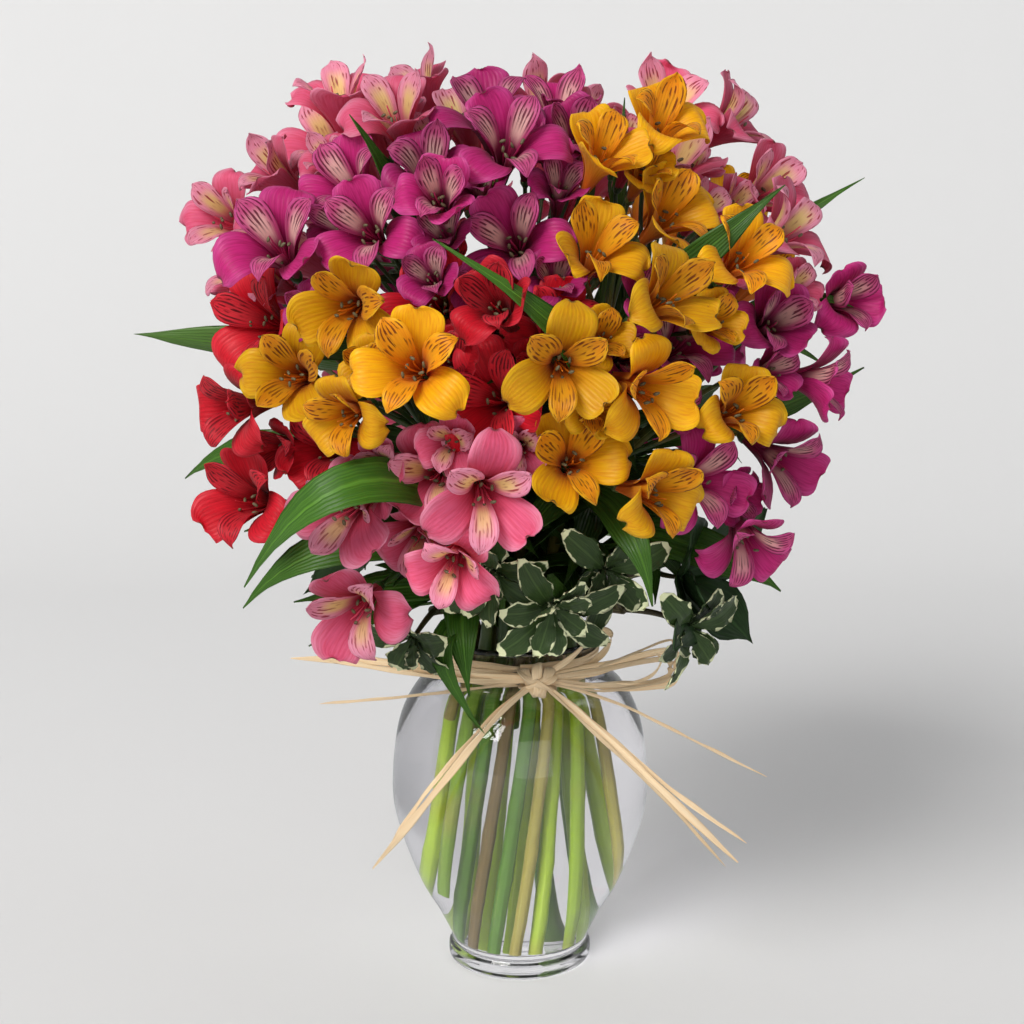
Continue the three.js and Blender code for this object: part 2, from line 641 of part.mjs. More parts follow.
// The water fills the glass up to its level, with a plain hole for every stem.
function waterSolid() {
  const skin = inside.filter((point) => point.y < WATER_LEVEL - 3);
  const top = inside.find((point) => point.y >= WATER_LEVEL - 3);
  const last = skin[skin.length - 1];
  const edge = last.clone().lerp(top, (WATER_LEVEL - last.y) / (top.y - last.y));
  const profile = [
    new THREE.Vector2(0, VASE.floor + GAP),
    new THREE.Vector2(floorCorner.x - GAP, VASE.floor + GAP),
    ...[...skin, edge].map((point) => new THREE.Vector2(point.x - 1.3 * GAP, point.y)),
    new THREE.Vector2(0, edge.y),
  ];
  const holes = plants.map((plant) => {
    const rise = plant.neck.clone().sub(plant.foot).normalize();
    const bottom = plant.foot.clone().addScaledVector(rise, -0.6);
    return tube(new THREE.LineCurve3(bottom, plant.neck), 5, (STEM.radius + GAP) / Math.cos(Math.PI / 5), 1);
  });
  return turnedSolid(profile, VASE.segments).subtract(joined(holes));
}

// ---------------------------------------------------------------------------------------------------
// Raffia: a band of strands round the neck, a knot in front, bow loops to the right and loose tails
// ---------------------------------------------------------------------------------------------------
const RAFFIA = { thickness: 1.1, width: 4.2, bandHeights: [155.2, 160, 166] };
const KNOT = vec(8.5, -43.3, 160);

function raffiaBand() {
  const inner = RAFFIA.bandHeights.map((height) => new THREE.Vector2(glassRadius(height) + 1.5 * GAP, height));
  const outer = inner.map((point) => new THREE.Vector2(point.x + RAFFIA.thickness, point.y));
  return turnedSolid([inner[0], ...outer, ...inner.slice().reverse()], VASE.segments);
}

// A flat strand along a curve through points.
function strand(points, width, steps) {
  const curve = new THREE.CatmullRomCurve3(points.map(place));
  const section = new THREE.Shape([[-1, -1], [1, -1], [1, 1], [-1, 1]].map(([a, b]) =>
    new THREE.Vector2((a * RAFFIA.thickness) / 2, (b * width) / 2)));
  return solidOf(new THREE.ExtrudeGeometry(section, { extrudePath: curve, steps, bevelEnabled: false }));
}

const knotPoint = KNOT.toArray();
const STRANDS = [
  { points: [knotPoint, [-24, -46, 163], [-68, -36, 167], [-112, -30, 167]], width: 5, steps: 5 },
  { points: [knotPoint, [-26, -46, 156], [-62, -40, 150], [-98, -34, 145]], width: 2, steps: 5 },
  { points: [knotPoint, [-12, -60, 146], [-42, -62, 108], [-72, -50, 66]], width: 4, steps: 5 },
  { points: [knotPoint, [34, -60, 143], [70, -60, 108], [106, -52, 70]], width: 4.4, steps: 5 },
  { points: [knotPoint, [46, -48, 150], [84, -38, 128], [122, -30, 106]], width: 2, steps: 5 },
  { points: [knotPoint, [40, -46, 168], [72, -38, 173], [76, -36, 164], [70, -38, 156], [40, -47, 158], knotPoint],
    width: 4, steps: 9 },
  { points: [knotPoint, [26, -42, 172], [38, -34, 182], [44, -34, 178], [34, -42, 168], knotPoint],
    width: 3, steps: 7 },
];

function raffiaSolid() {
  const knot = new THREE.SphereGeometry(1, 7, 5);
  knot.scale(6, 5.8, 8);
  knot.translate(...knotPoint);
  const loose = STRANDS.map(({ points, width, steps }) => strand(points, width, steps));
  return largestBody(joined([raffiaBand(), solidOf(knot), ...loose]));
}

// ---------------------------------------------------------------------------------------------------
// The scene
// ---------------------------------------------------------------------------------------------------
const bouquet = new THREE.Group();

function addMesh(name, solid, colour, roughness) {
  const material = new THREE.MeshStandardMaterial({ color: colour, roughness, metalness: 0 });
  const mesh = new THREE.Mesh(geometryOf(solid), material);
  mesh.name = name;
  bouquet.add(mesh);
}

addMesh("vase", vaseSolid(), 0xe4e6ec, 0.05);
addMesh("water", waterSolid(), 0xdfe3ee, 0.02);
addMesh("raffia", raffiaSolid(), 0xd9bc94, 0.85);
for (const head of HEADS) {
  addMesh(`${head.name}_stem`, fusedNode(`${head.name}_stem`), STEM_GREEN, 0.55);
  addMesh(`${head.name}_flowers`, fusedNode(`${head.name}_flowers`), COLOURS[head.colour], 0.6);
}
for (const twig of TWIGS) {
  addMesh(`${twig.plant}_sprig`, fusedNode(`${twig.plant}_sprig`), LEAF_GREEN, 0.5);
}

export default bouquet;
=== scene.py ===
"""A hand-tied bouquet of alstroemerias in four colours with mixed foliage. It stands in a clear glass vase
of water, with a raffia bow round the neck. Metres, +Z up; the bouquet's front faces -Y."""
import itertools
import math
import random

import bpy
import numpy as np
from mathutils import Matrix, Vector


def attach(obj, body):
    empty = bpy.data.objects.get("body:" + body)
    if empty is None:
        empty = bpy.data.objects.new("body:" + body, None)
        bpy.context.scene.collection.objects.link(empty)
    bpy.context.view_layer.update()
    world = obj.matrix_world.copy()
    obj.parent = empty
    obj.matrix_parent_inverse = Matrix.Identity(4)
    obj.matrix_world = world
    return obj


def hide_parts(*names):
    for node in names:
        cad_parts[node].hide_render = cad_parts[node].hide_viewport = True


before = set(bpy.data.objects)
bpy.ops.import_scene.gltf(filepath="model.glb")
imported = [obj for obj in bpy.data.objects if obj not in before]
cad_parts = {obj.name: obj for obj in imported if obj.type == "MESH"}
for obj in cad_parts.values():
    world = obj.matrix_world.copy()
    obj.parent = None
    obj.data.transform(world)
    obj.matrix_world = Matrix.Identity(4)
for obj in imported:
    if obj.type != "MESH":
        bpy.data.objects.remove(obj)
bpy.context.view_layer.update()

# ----------------------------------------------------------------------
# Studio: a pale seamless paper sweep, one big softbox at the front left, a weaker one at the right and
# the room's own light. None of it belongs to the bouquet.


class Wire:
    """A node's output. Reckoning with it adds Math nodes, and [] picks another output of its node."""

    def __init__(self, socket):
        self.socket, self.tree = socket, socket.id_data

    def __getitem__(self, key):
        return Wire(self.socket.node.outputs[key])

    def maths(self, operation, *others):
        return node(self.tree, "ShaderNodeMath", enumerate((self, *others)), operation=operation)

    def __add__(self, other):
        return self.maths("ADD", other)

    def __sub__(self, other):
        return self.maths("SUBTRACT", other)

    def __rsub__(self, other):
        return node(self.tree, "ShaderNodeMath", {0: other, 1: self}, operation="SUBTRACT")

    def __mul__(self, other):
        return self.maths("MULTIPLY", other)

    def __pow__(self, other):
        return self.maths("POWER", other)

    def __abs__(self):
        return self.maths("ABSOLUTE")

    def scaled(self, factor, more):
        """The value times a factor, and some more."""
        return self.maths("MULTIPLY_ADD", factor, more)

    def ranged(self, low, high, to_low=0.0, to_high=1.0):
        """The value spread smoothly from one range to another."""
        inputs = {"Value": self, 1: low, 2: high, 3: to_low, 4: to_high}
        return node(self.tree, "ShaderNodeMapRange", inputs, interpolation_type="SMOOTHSTEP")

    def blend(self, first, second):
        """A colour between two colours: the wire is the share of the second."""
        return node(self.tree, "ShaderNodeMix", {0: self, 6: first, 7: second}, data_type="RGBA")[2]

    def parted(self):
        """The three parts of a vector, the first one picked."""
        return node(self.tree, "ShaderNodeSeparateXYZ", {0: self})


def feed(made, inputs):
    """Gives a node's inputs, by name or number, a wire or a plain value."""
    for key, value in dict(inputs).items():
        if isinstance(value, Wire):
            value.tree.links.new(value.socket, made.inputs[key])
        else:
            made.inputs[key].default_value = value


def node(tree, kind, inputs=(), **settings):
    """Adds a node with its settings and inputs, and gives its first output."""
    made = tree.nodes.new(kind)
    for name, value in settings.items():
        setattr(made, name, value)
    feed(made, inputs)
    return Wire(made.outputs[0])


def paint(code):
    """A colour from its usual six-figure code."""
    shares = [int(code[i:i + 2], 16) / 255 for i in (0, 2, 4)]
    return (*[s / 12.92 if s <= 0.04045 else ((s + 0.055) / 1.055) ** 2.4 for s in shares], 1.0)


def new_material(name, **plain):
    """A material with one Principled shader, and the values that are the same all over it."""
    material = bpy.data.materials.new(name)
    material.use_nodes = True
    shader = material.node_tree.nodes["Principled BSDF"]
    feed(shader, {socket.replace("_", " "): value for socket, value in plain.items()})
    return material, material.node_tree, shader


def placed(name, data):
    """An object in the scene."""
    made = bpy.data.objects.new(name, data)
    bpy.context.scene.collection.objects.link(made)
    return made


def new_object(name, vertices, faces, edges=(), smooth=False):
    """A mesh from its points, faces and loose edges, in the scene."""
    mesh = bpy.data.meshes.new(name)
    mesh.from_pydata([tuple(v) for v in vertices], list(edges), faces)
    if smooth:
        mesh.polygons.foreach_set("use_smooth", [True] * len(faces))
    return placed(name, mesh)


SWEEP_HALF_WIDTH, SWEEP_FRONT, SWEEP_HEIGHT = 3.0, -3.0, 3.2
SWEEP_TURN, SWEEP_RADIUS = 0.75, 0.7  # where the paper starts to turn up, and how wide the turn is
turn = [i * math.pi / 48 for i in range(25)]
profile = [(SWEEP_TURN + SWEEP_RADIUS * math.sin(a), SWEEP_RADIUS * (1 - math.cos(a))) for a in turn]
profile = [(SWEEP_FRONT, 0.0), *profile, (SWEEP_TURN + SWEEP_RADIUS, SWEEP_HEIGHT)]
vertices = [(x, y, z) for y, z in profile for x in (-SWEEP_HALF_WIDTH, SWEEP_HALF_WIDTH)]
faces = [(2 * i, 2 * i + 1, 2 * i + 3, 2 * i + 2) for i in range(len(profile) - 1)]
sweep = new_object("paper_sweep", vertices, faces, smooth=True)
paper, _, _ = new_material(
    "seamless_paper", Base_Color=paint("E3E3E3"), Roughness=0.95, Specular_IOR_Level=0.1)
sweep.data.materials.append(paper)
sweep.visible_glossy = False


def softbox(name, place, target, size, power, colour=(1.0, 1.0, 1.0)):
    """A square lamp that looks at a target. Its size is in metres and its power in watts."""
    light = bpy.data.lights.new(name, "AREA")
    light.shape, light.size, light.energy, light.color = "SQUARE", size, power, colour
    lamp = placed(name, light)
    lamp.location = place
    lamp.rotation_euler = (Vector(target) - Vector(place)).to_track_quat("-Z", "Y").to_euler()
    return lamp


key = softbox("key_softbox", (-2.2, -3.15, 3.3), (0, 0, 0.25), size=2.3, power=208.0,
              colour=(1.0, 0.985, 0.965))
key.visible_transmission = False
fill = softbox("fill_softbox", (0.5, -2.2, 0.55), (0, 0, 0.3), size=1.4, power=7.5)
fill.visible_glossy = False
softbox("wall_softbox", (1.15, 0.35, 1.45), (0.8, 1.45, 0.5), size=0.8, power=2.0)

room = bpy.data.worlds.new("room")
room.use_nodes = True
height_there = node(room.node_tree, "ShaderNodeTexCoord")["Generated"].parted()[2]
low_light, high_light = (0.50, 0.508, 0.518, 1.0), (0.24, 0.244, 0.25, 1.0)
room_light = height_there.ranged(0.0, 0.45).blend(low_light, high_light)
feed(room.node_tree.nodes["Background"], {"Color": room_light})
bpy.context.scene.world = room
bpy.context.scene.view_settings.view_transform = "Standard"

eye = placed("eye", bpy.data.cameras.new("eye"))
eye.data.lens = 65.07
eye.location = (-0.004, -0.900, 0.420)
eye.rotation_euler = (math.radians(78.3), 0, 0)
bpy.context.scene.camera = eye

# ----------------------------------------------------------------------
# Vase: clear mould-blown glass in the form of a ginger jar, with a thick foot, a round body, a narrow
# neck and a flared lip. Its wall is nearly even, and the floor is a thick lens of glass.
MM = 0.001
VASE_TURNS = 144
WALL = 2.8 * MM
VASE_FLOOR = 11 * MM
FOOT = [(0, 1.2), (24, 1.0), (30, 0), (34, 0), (36, 0.8), (36.6, 2.4), (36.6, 6.4), (36, 8.2), (35, 9.6)]
OUTSIDE = [(34.8, 12), (42.5, 28), (51.5, 44), (61.4, 71), (65, 93), (61.4, 126), (51.6, 146),
           (39.4, 154), (38, 160), (39.2, 167), (42.5, 171)]


def smooth(points, steps):
    """Points on a smooth curve through some points of any dimension, some steps to each span."""
    given = np.array(points, float)
    ends = [2 * given[0] - given[1], *given, 2 * given[-1] - given[-2]]
    made = []
    for i in range(1, len(ends) - 2):
        a, b, c, d = ends[i - 1:i + 3]
        for t in np.arange(steps) / steps:
            made.append(0.5 * (2 * b + (c - a) * t + (2 * a - 5 * b + 4 * c - d) * t ** 2
                               + (3 * b - a - 3 * c + d) * t ** 3))
    return np.array([*made, given[-1]])


def between_rings(at, rows, sides):
    """The faces between rings of points."""
    return [(at(row, k), at(row, k + 1), at(row + 1, k + 1), at(row + 1, k))
            for row in range(rows) for k in range(sides)]


def turned(name, profile, turns):
    """A closed solid of revolution. The profile starts and ends on the axis."""
    rim = profile[1:-1]
    vertices = [(0, 0, profile[0][1]), (0, 0, profile[-1][1])]
    for r, z in rim:
        for k in range(turns):
            angle = 2 * math.pi * k / turns
            vertices.append((r * math.cos(angle), r * math.sin(angle), z))
    at = lambda row, k: 2 + row * turns + k % turns
    faces = [(0, at(0, k + 1), at(0, k)) for k in range(turns)]
    faces += [(1, at(len(rim) - 1, k), at(len(rim) - 1, k + 1)) for k in range(turns)]
    faces += between_rings(at, len(rim) - 1, turns)
    return new_object(name, vertices, faces, smooth=True)


def inset(profile, distance):
    """The profile moved sideways to its left, by the wall's thickness."""
    along = np.gradient(profile, axis=0)
    along /= np.linalg.norm(along, axis=1)[:, None]
    return profile + distance * np.stack([-along[:, 1], along[:, 0]], 1)


def finish_piece(piece, slot, *nodes):
    """Every piece of the bouquet stands with the vase, in place of the plain solids it covers."""
    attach(piece, "root")
    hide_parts(*nodes)


outside = smooth(OUTSIDE, 6) * MM
inside = inset(outside, WALL)
inside = inside[inside[:, 1] > VASE_FLOOR + 2 * MM]
lip_middle = (outside[-1] + inside[-1]) / 2
lip_up = (outside[-1] - outside[-2]) / np.linalg.norm(outside[-1] - outside[-2])
lip = [lip_middle + math.cos(a) * (outside[-1] - lip_middle) + math.sin(a) * lip_up * WALL / 2
       for a in np.linspace(0, math.pi, 9)[1:-1]]
bowl = smooth([(0, 11), (18, 11.2), (29, 11.6), (33.4, 13)], 4)[:-1] * MM
vase_profile = [*smooth(FOOT, 2) * MM, *outside, *lip, *inside[::-1], *bowl[::-1]]
vase_glass = turned("vase_glass", vase_profile, VASE_TURNS)


def mixed_with(tree, share, other):
    """A material shows its Principled shader, and by some share another one."""
    own = Wire(tree.nodes["Principled BSDF"].outputs[0])
    mixed = node(tree, "ShaderNodeMixShader", {0: share, 1: own, 2: other})
    feed(tree.nodes["Material Output"], {"Surface": mixed})


def glass_material(name, tint, index):
    """Clear glass or water that bends light, and lets lamps shine through onto what stands in it."""
    material, tree, _ = new_material(
        name, Base_Color=tint, Roughness=0.0, IOR=index, Transmission_Weight=1.0)
    open_way = node(tree, "ShaderNodeBsdfTransparent", {"Color": tint})
    mixed_with(tree, node(tree, "ShaderNodeLightPath")["Is Shadow Ray"], open_way)
    return material


vase_glass.data.materials.append(glass_material("clear_glass", (0.975, 0.97, 0.99, 1.0), 1.5))
finish_piece(vase_glass, "glass", "vase")

# ----------------------------------------------------------------------
# Water: fills the vase to just under the shoulder. Its skin reaches a hair into the glass, so that no
# film of air shows between the two.
WATER_LEVEL = 150 * MM
SKIN = 0.25 * MM
MENISCUS = 1.6 * MM

wet = inset(outside, WALL - SKIN)
wet = wet[(wet[:, 1] > VASE_FLOOR + 2 * MM) & (wet[:, 1] < WATER_LEVEL - MENISCUS)]
shore = float(np.interp(WATER_LEVEL, inside[:, 1], inside[:, 0]))
surface_line = [(shore + SKIN, WATER_LEVEL + MENISCUS / 2), (shore - MENISCUS, WATER_LEVEL),
                (shore - 3 * MENISCUS, WATER_LEVEL - MENISCUS / 4), (0, WATER_LEVEL - MENISCUS / 4)]
water_profile = [(r, z - SKIN) for r, z in bowl] + [tuple(p) for p in wet] + surface_line
water_body = turned("vase_water", water_profile, VASE_TURNS)
water_body.data.materials.append(glass_material("still_water", (0.985, 0.99, 0.99, 1.0), 1.33))
finish_piece(water_body, "water", "water")

# ----------------------------------------------------------------------
# The bouquet's plan: where each flower, umbel and stem stands, in millimetres. A head's name starts with
# its colour and says if it looks to the rear. Its flowers are (x, z, how much they stand out).
HEADS = {
    "pink_top": [(-80, 440), (-58, 450), (-38, 440), (-102, 420), (-52, 425), (-117, 403)],
    "pink_left": [(-136, 360), (-136, 385), (-123, 375, -12)],
    "pink_right": [(79, 431), (103, 422), (117, 403), (69, 417, -10), (128, 375, 5)],
    "pink_low": [(-69, 258), (-68, 215, 5), (-51, 235, -5), (-38, 263, -5), (-13, 266, 5),
     (-28, 249, 5)],
    "magenta_top": [(-11, 436), (14, 439), (33, 425), (0, 409, 5), (-13, 387)],
    "magenta_left": [(-97, 378, 5), (-63, 384, 5), (-36, 389, 5), (-81, 400), (-46, 407)],
    "magenta_right": [(81, 338, -5), (104, 339), (148, 344, 10), (134, 318, 5)],
    "magenta_low": [(93, 272, -5), (112, 274, -5), (102, 236, 5)],
    "yellow_right": [(29, 404, 5), (52, 413), (35, 377, 5), (53, 361, 10), (78, 388, 5),
     (85, 374, 5)],
    "yellow_left": [(-66, 348, 10), (-45, 326, 10), (-98, 315, 5), (-78, 307, 15)],
    "yellow_mid": [(16, 321, 10), (50, 314, 10), (16, 285, 5), (90, 305, 5), (59, 274, 10)],
    "red_left": [(-123, 324), (-126, 299), (-129, 269, 5), (-100, 286, -20)],
    "red_mid": [(-12, 346, 5), (-18, 319, 5), (6, 341, -10), (-39, 347, -15), (-10, 357, -14)],
    "pink_rear_top": [(5, 447), (-15, 425), (30, 425), (-22, 390, 5), (25, 392)],
    "magenta_rear": [(-55, 425), (-105, 390), (-65, 388, 5), (-130, 350), (-88, 350, 5)],
    "yellow_rear": [(72, 422), (70, 388, 5), (112, 385), (132, 348), (92, 350, 5)],
    "red_rear": [(-44, 350), (0, 352, 5), (46, 350), (-28, 310, 5), (20, 310)],
    "pink_rear_low": [(-120, 310), (-75, 312), (-105, 268), (-60, 270, 5), (-12, 268)],
    "magenta_rear_low": [(66, 310), (112, 308), (36, 268, 5), (84, 265)],
}
SPRIGS = [
    ("pittosporum_front", (2, -72, 208), (0.05, -0.8, 0.25)),
    ("pittosporum_right", (48, -62, 200), (0.5, -0.7, 0.1)),
    ("pittosporum_left", (-42, -50, 196), (-0.5, -0.6, 0)),
    ("broadleaf_right", (66, -30, 212), (0.9, -0.3, 0.2)),
    ("broadleaf_left", (-62, 14, 208), (-0.9, 0.1, 0.2)),
    ("broadleaf_rear", (10, 66, 210), (0.1, 0.9, 0.2)),
]
DOME_CENTRE = Vector((4, 0, 300))
DOME_RADII = (158, 140, 150)
DOME_FOCUS = Vector((4, 15, 280))  # the flowers look away from here
FLOWER_LENGTH = 34  # from the ovary to the mouth
FLOWERS_APART = 43.5
TURN_TO_SIDE = 0.55
TOP_LEVEL, TOP_SINK = 426, 0.42  # the topmost flowers sink by this share of their height over the level
TUBE_CLEAR = 31
TUBE_MIDDLE = 0.6 * FLOWER_LENGTH
CROWDING_ROUNDS, CROWDING_STEP, HOMEWARD_STEP = 80, 0.25, 0.03
UMBEL_REACH = 82
NECK_POINT = Vector((0, 0, 165))
STEM_RADIUS = 3.1
STEMS_APART = 8.9
PRESSING_ROUNDS, PRESSING_STEP = 200, 0.3
BEND_LEVEL = 176
INNER_RING, OUTER_RING = 13, 26  # where high or middle stems and the others pass the neck
HIGH_UMBEL, NEAR_AXIS = 290, 28
SPIRAL, FOOT_RING = math.radians(-50), 1.06
FLOOR_LEVEL = 12.4
NECK_ROOM = 30.1  # how far from the axis a stem may pass the neck
FLOOR_ROOM = 28
FEET = {  # x, y and, off the floor, the level: these lean on the glass or were cut shorter
    "red_mid": (-14, -6), "magenta_right": (7, -22), "magenta_low": (22, -17),
    "pink_right": (26, -5), "yellow_rear": (24, 13), "pink_rear_top": (10, 24),
    "pink_left": (-18, 20), "yellow_left": (-34, -22, 44), "pittosporum_left": (-30, -12, 128),
    "red_left": (-33, 12, 34), "broadleaf_left": (-31, 14, 126), "broadleaf_right": (41, -4, 44),
    "magenta_rear_low": (34, 12, 34), "broadleaf_rear": (12, 31, 120), "red_rear": (2, 33, 116),
    "pink_rear_low": (-14, 31, 122), "magenta_rear": (-7, 20, 112), "pink_top": (-20, 1, 114),
    "magenta_left": (-12, -8, 118), "magenta_top": (-2, -9, 122),
}


class Flower:
    """One open flower: where its mouth stands on the dome, and where it looks."""

    def __init__(self, side, x, z, push=0):
        self.side = side
        across = (x - DOME_CENTRE.x) / (DOME_RADII[0] + push)
        up = (z - DOME_CENTRE.z) / (DOME_RADII[2] + push)
        depth = math.sqrt(max(0.004, 1 - across * across - up * up))
        self.mouth = Vector((x, DOME_CENTRE.y + side * depth * (DOME_RADII[1] + push), z))
        self.home = self.mouth.copy()

    def outward(self):
        return (self.mouth - DOME_FOCUS).normalized()

    def faces(self):
        """Where it looks: at the bouquet's two sides it turns some way to the front or rear."""
        out = self.outward()
        return (out + Vector((0, self.side * TURN_TO_SIDE * abs(out.x), 0))).normalized()

    def tube(self):
        """The middle of its narrow part."""
        return self.mouth - TUBE_MIDDLE * self.outward()


def push_apart(a, b, distance):
    """How far the second point moves, and the first moves back, to be far enough from each other."""
    between = b - a
    return between.normalized() * max(0.0, distance - between.length) * CROWDING_STEP


def settle_flowers(flowers):
    """The flowers crowd each other into their places."""
    for _ in range(CROWDING_ROUNDS):
        for a, b in itertools.combinations(flowers, 2):
            if (b.mouth - a.mouth).length > TUBE_CLEAR + TUBE_MIDDLE:
                continue
            shift = push_apart(a.mouth, b.mouth, FLOWERS_APART)
            a.mouth -= shift
            b.mouth += shift
            tube_a, tube_b = a.tube(), b.tube()
            b.mouth += push_apart(tube_a, b.mouth, TUBE_CLEAR)
            a.mouth += push_apart(tube_b, a.mouth, TUBE_CLEAR)
        for flower in flowers:
            flower.mouth = flower.mouth.lerp(flower.home, HOMEWARD_STEP)


class Plant:
    """A stem: its foot on the glass, its bend at the neck, its umbel, and its flowers if it has any."""

    def __init__(self, name, umbel, towards, colour=None, flowers=()):
        self.name, self.umbel, self.towards = name, umbel, towards
        self.colour, self.flowers = colour, flowers
        bearing = Vector((umbel.x, umbel.y, 0))
        ring = INNER_RING if umbel.z > HIGH_UMBEL or bearing.length < NEAR_AXIS else OUTER_RING
        self.neck = bearing.normalized() * ring + Vector((0, 0, BEND_LEVEL))
        foot = Matrix.Rotation(SPIRAL, 3, "Z") @ (bearing.normalized() * ring * FOOT_RING)
        x, y, *level = FEET.get(name, foot.xy)
        self.foot = Vector((x, y, *(level or [FLOOR_LEVEL])))
        self.foot_room = max(FLOOR_ROOM, self.foot.xy.length)

    def bend(self, t):
        """A point of the stem's curve from the neck to the umbel."""
        span = (self.umbel - self.neck).length / 3
        a, d = self.neck, self.umbel
        b = a + (a - self.foot).normalized() * span
        c = d - self.towards * span
        return a * (1 - t) ** 3 + b * 3 * (1 - t) ** 2 * t + c * 3 * (1 - t) * t * t + d * t ** 3


def nearest(a, b):
    """How far along each of two straight stems they come closest."""
    along_a, along_b, offset = a.neck - a.foot, b.neck - b.foot, a.foot - b.foot
    aa, bb, ab = along_a.dot(along_a), along_b.dot(along_b), along_a.dot(along_b)
    ao, bo = along_a.dot(offset), along_b.dot(offset)
    spread = aa * bb - ab * ab
    clamp = lambda value: min(1.0, max(0.0, value))
    s = clamp((ab * bo - bb * ao) / spread if spread > 1e-6 else 0.5)
    t = clamp((ab * s + bo) / bb)
    return clamp((ab * t - ao) / aa), t


def keep_within(point, radius):
    """Moves a point back to within a radius of the vase's axis."""
    reach = math.hypot(point.x, point.y)
    if reach > radius:
        point.x *= radius / reach
        point.y *= radius / reach


def settle_stems(stems):
    """The stems press each other aside in the neck and on the floor of the vase."""
    for _ in range(PRESSING_ROUNDS):
        for a, b in itertools.combinations(stems, 2):
            s, t = nearest(a, b)
            on_a, on_b = a.foot.lerp(a.neck, s), b.foot.lerp(b.neck, t)
            lack = STEMS_APART - (on_a - on_b).length
            if lack <= 0:
                continue
            away = on_b - on_a
            away.z = 0
            away = away.normalized() * lack * PRESSING_STEP
            a.neck -= away * s
            a.foot -= away * (1 - s)
            b.neck += away * t
            b.foot += away * (1 - t)
        for stem in stems:
            keep_within(stem.neck, NECK_ROOM)
            keep_within(stem.foot, stem.foot_room)


bunches = [[Flower(1 if "rear" in name else -1, *place) for place in places]
           for name, places in HEADS.items()]
flowers = [flower for bunch in bunches for flower in bunch]
settle_flowers(flowers)
for flower in flowers:
    flower.mouth.z -= TOP_SINK * max(0.0, flower.mouth.z - TOP_LEVEL)
plants = []
for name, bunch in zip(HEADS, bunches):
    middle = sum((flower.mouth for flower in bunch), Vector((0, 0, 0))) / len(bunch)
    looks = ((middle - DOME_FOCUS).normalized() + (middle - NECK_POINT).normalized()).normalized()
    plants.append(Plant(name, middle - looks * UMBEL_REACH, looks, name.split("_")[0], bunch))
plants += [Plant(name, Vector(umbel), Vector(towards)) for name, umbel, towards in SPRIGS]
settle_stems(plants)
plant_named = {plant.name: plant for plant in plants}

# ----------------------------------------------------------------------
# Florets: each is a funnel of three broad outer tepals and three narrow, marked inner ones, with six
# bowed stamens, a style and a ribbed green ovary. Eight shapes, from a young one to one wide open.
PART_STALK, PART_BLADE, PART_PETAL, PART_INNER = range(4)
# rows from base to tip: radius from the flower's axis, place along it, half the width, curl (radians)
OUTER_TEPAL = [(2.0, 0.4, 1.5, 1.1), (3.3, 7.6, 2.6, 1.0), (5.0, 14.8, 4.3, 0.85), (7.8, 21.4, 7.0, 0.65),
               (11.8, 26.8, 9.9, 0.45), (16.0, 30.4, 11.4, 0.3), (19.2, 32.2, 11.2, 0.2),
               (21.2, 32.9, 9.6, 0.12), (22.4, 33.0, 7.0, 0.06), (23.1, 32.9, 3.0, 0.0)]
INNER_TEPAL = [(1.5, 0.6, 1.2, 1.0), (2.6, 8.0, 1.9, 1.0), (4.0, 15.6, 2.8, 0.95), (6.0, 22.8, 4.2, 0.85),
               (8.8, 29.2, 6.0, 0.7), (12.0, 34.0, 7.0, 0.5), (14.9, 36.8, 6.4, 0.35),
               (17.0, 38.2, 4.4, 0.2), (18.3, 38.8, 2.2, 0.1), (19.2, 39.2, 0.3, 0.0)]
TEPAL_TURNS = (0, 48, 120, 180, 240, 312)  # degrees: the two upper inner tepals stand close together
LOWEST = 3  # the lowest inner tepal is narrower and less marked
TEPAL_THICKNESS = 0.42
GROWN_GRID, YOUNG_GRID = (10, 2), (7, 1)  # points across a tepal, and rows to each span of its length


class MeshParts:
    """Gathers closed shapes with their map, their part of the flower and their zone of colour."""

    def __init__(self):
        self.vertices, self.faces, self.maps, self.parts, self.zones = [], [], [], [], []

    def add(self, vertices, faces, maps, part, zone):
        base = len(self.vertices)
        self.vertices += [tuple(v) for v in vertices]
        self.faces += [tuple(base + i for i in face) for face in faces]
        self.maps += list(maps)
        self.parts += [part] * len(vertices)
        self.zones += [zone] * len(vertices)

    def as_object(self, name):
        made = new_object(name, np.array(self.vertices) * MM, self.faces)
        mesh = made.data
        corners = np.array([loop.vertex_index for loop in mesh.loops])
        mesh.uv_layers.new(name="UVMap").data.foreach_set("uv", np.array(self.maps)[corners].ravel())
        mesh.attributes.new("part", "INT", "POINT").data.foreach_set("value", self.parts)
        mesh.attributes.new("zone", "FLOAT", "POINT").data.foreach_set("value", self.zones)
        made.hide_render = True
        return made


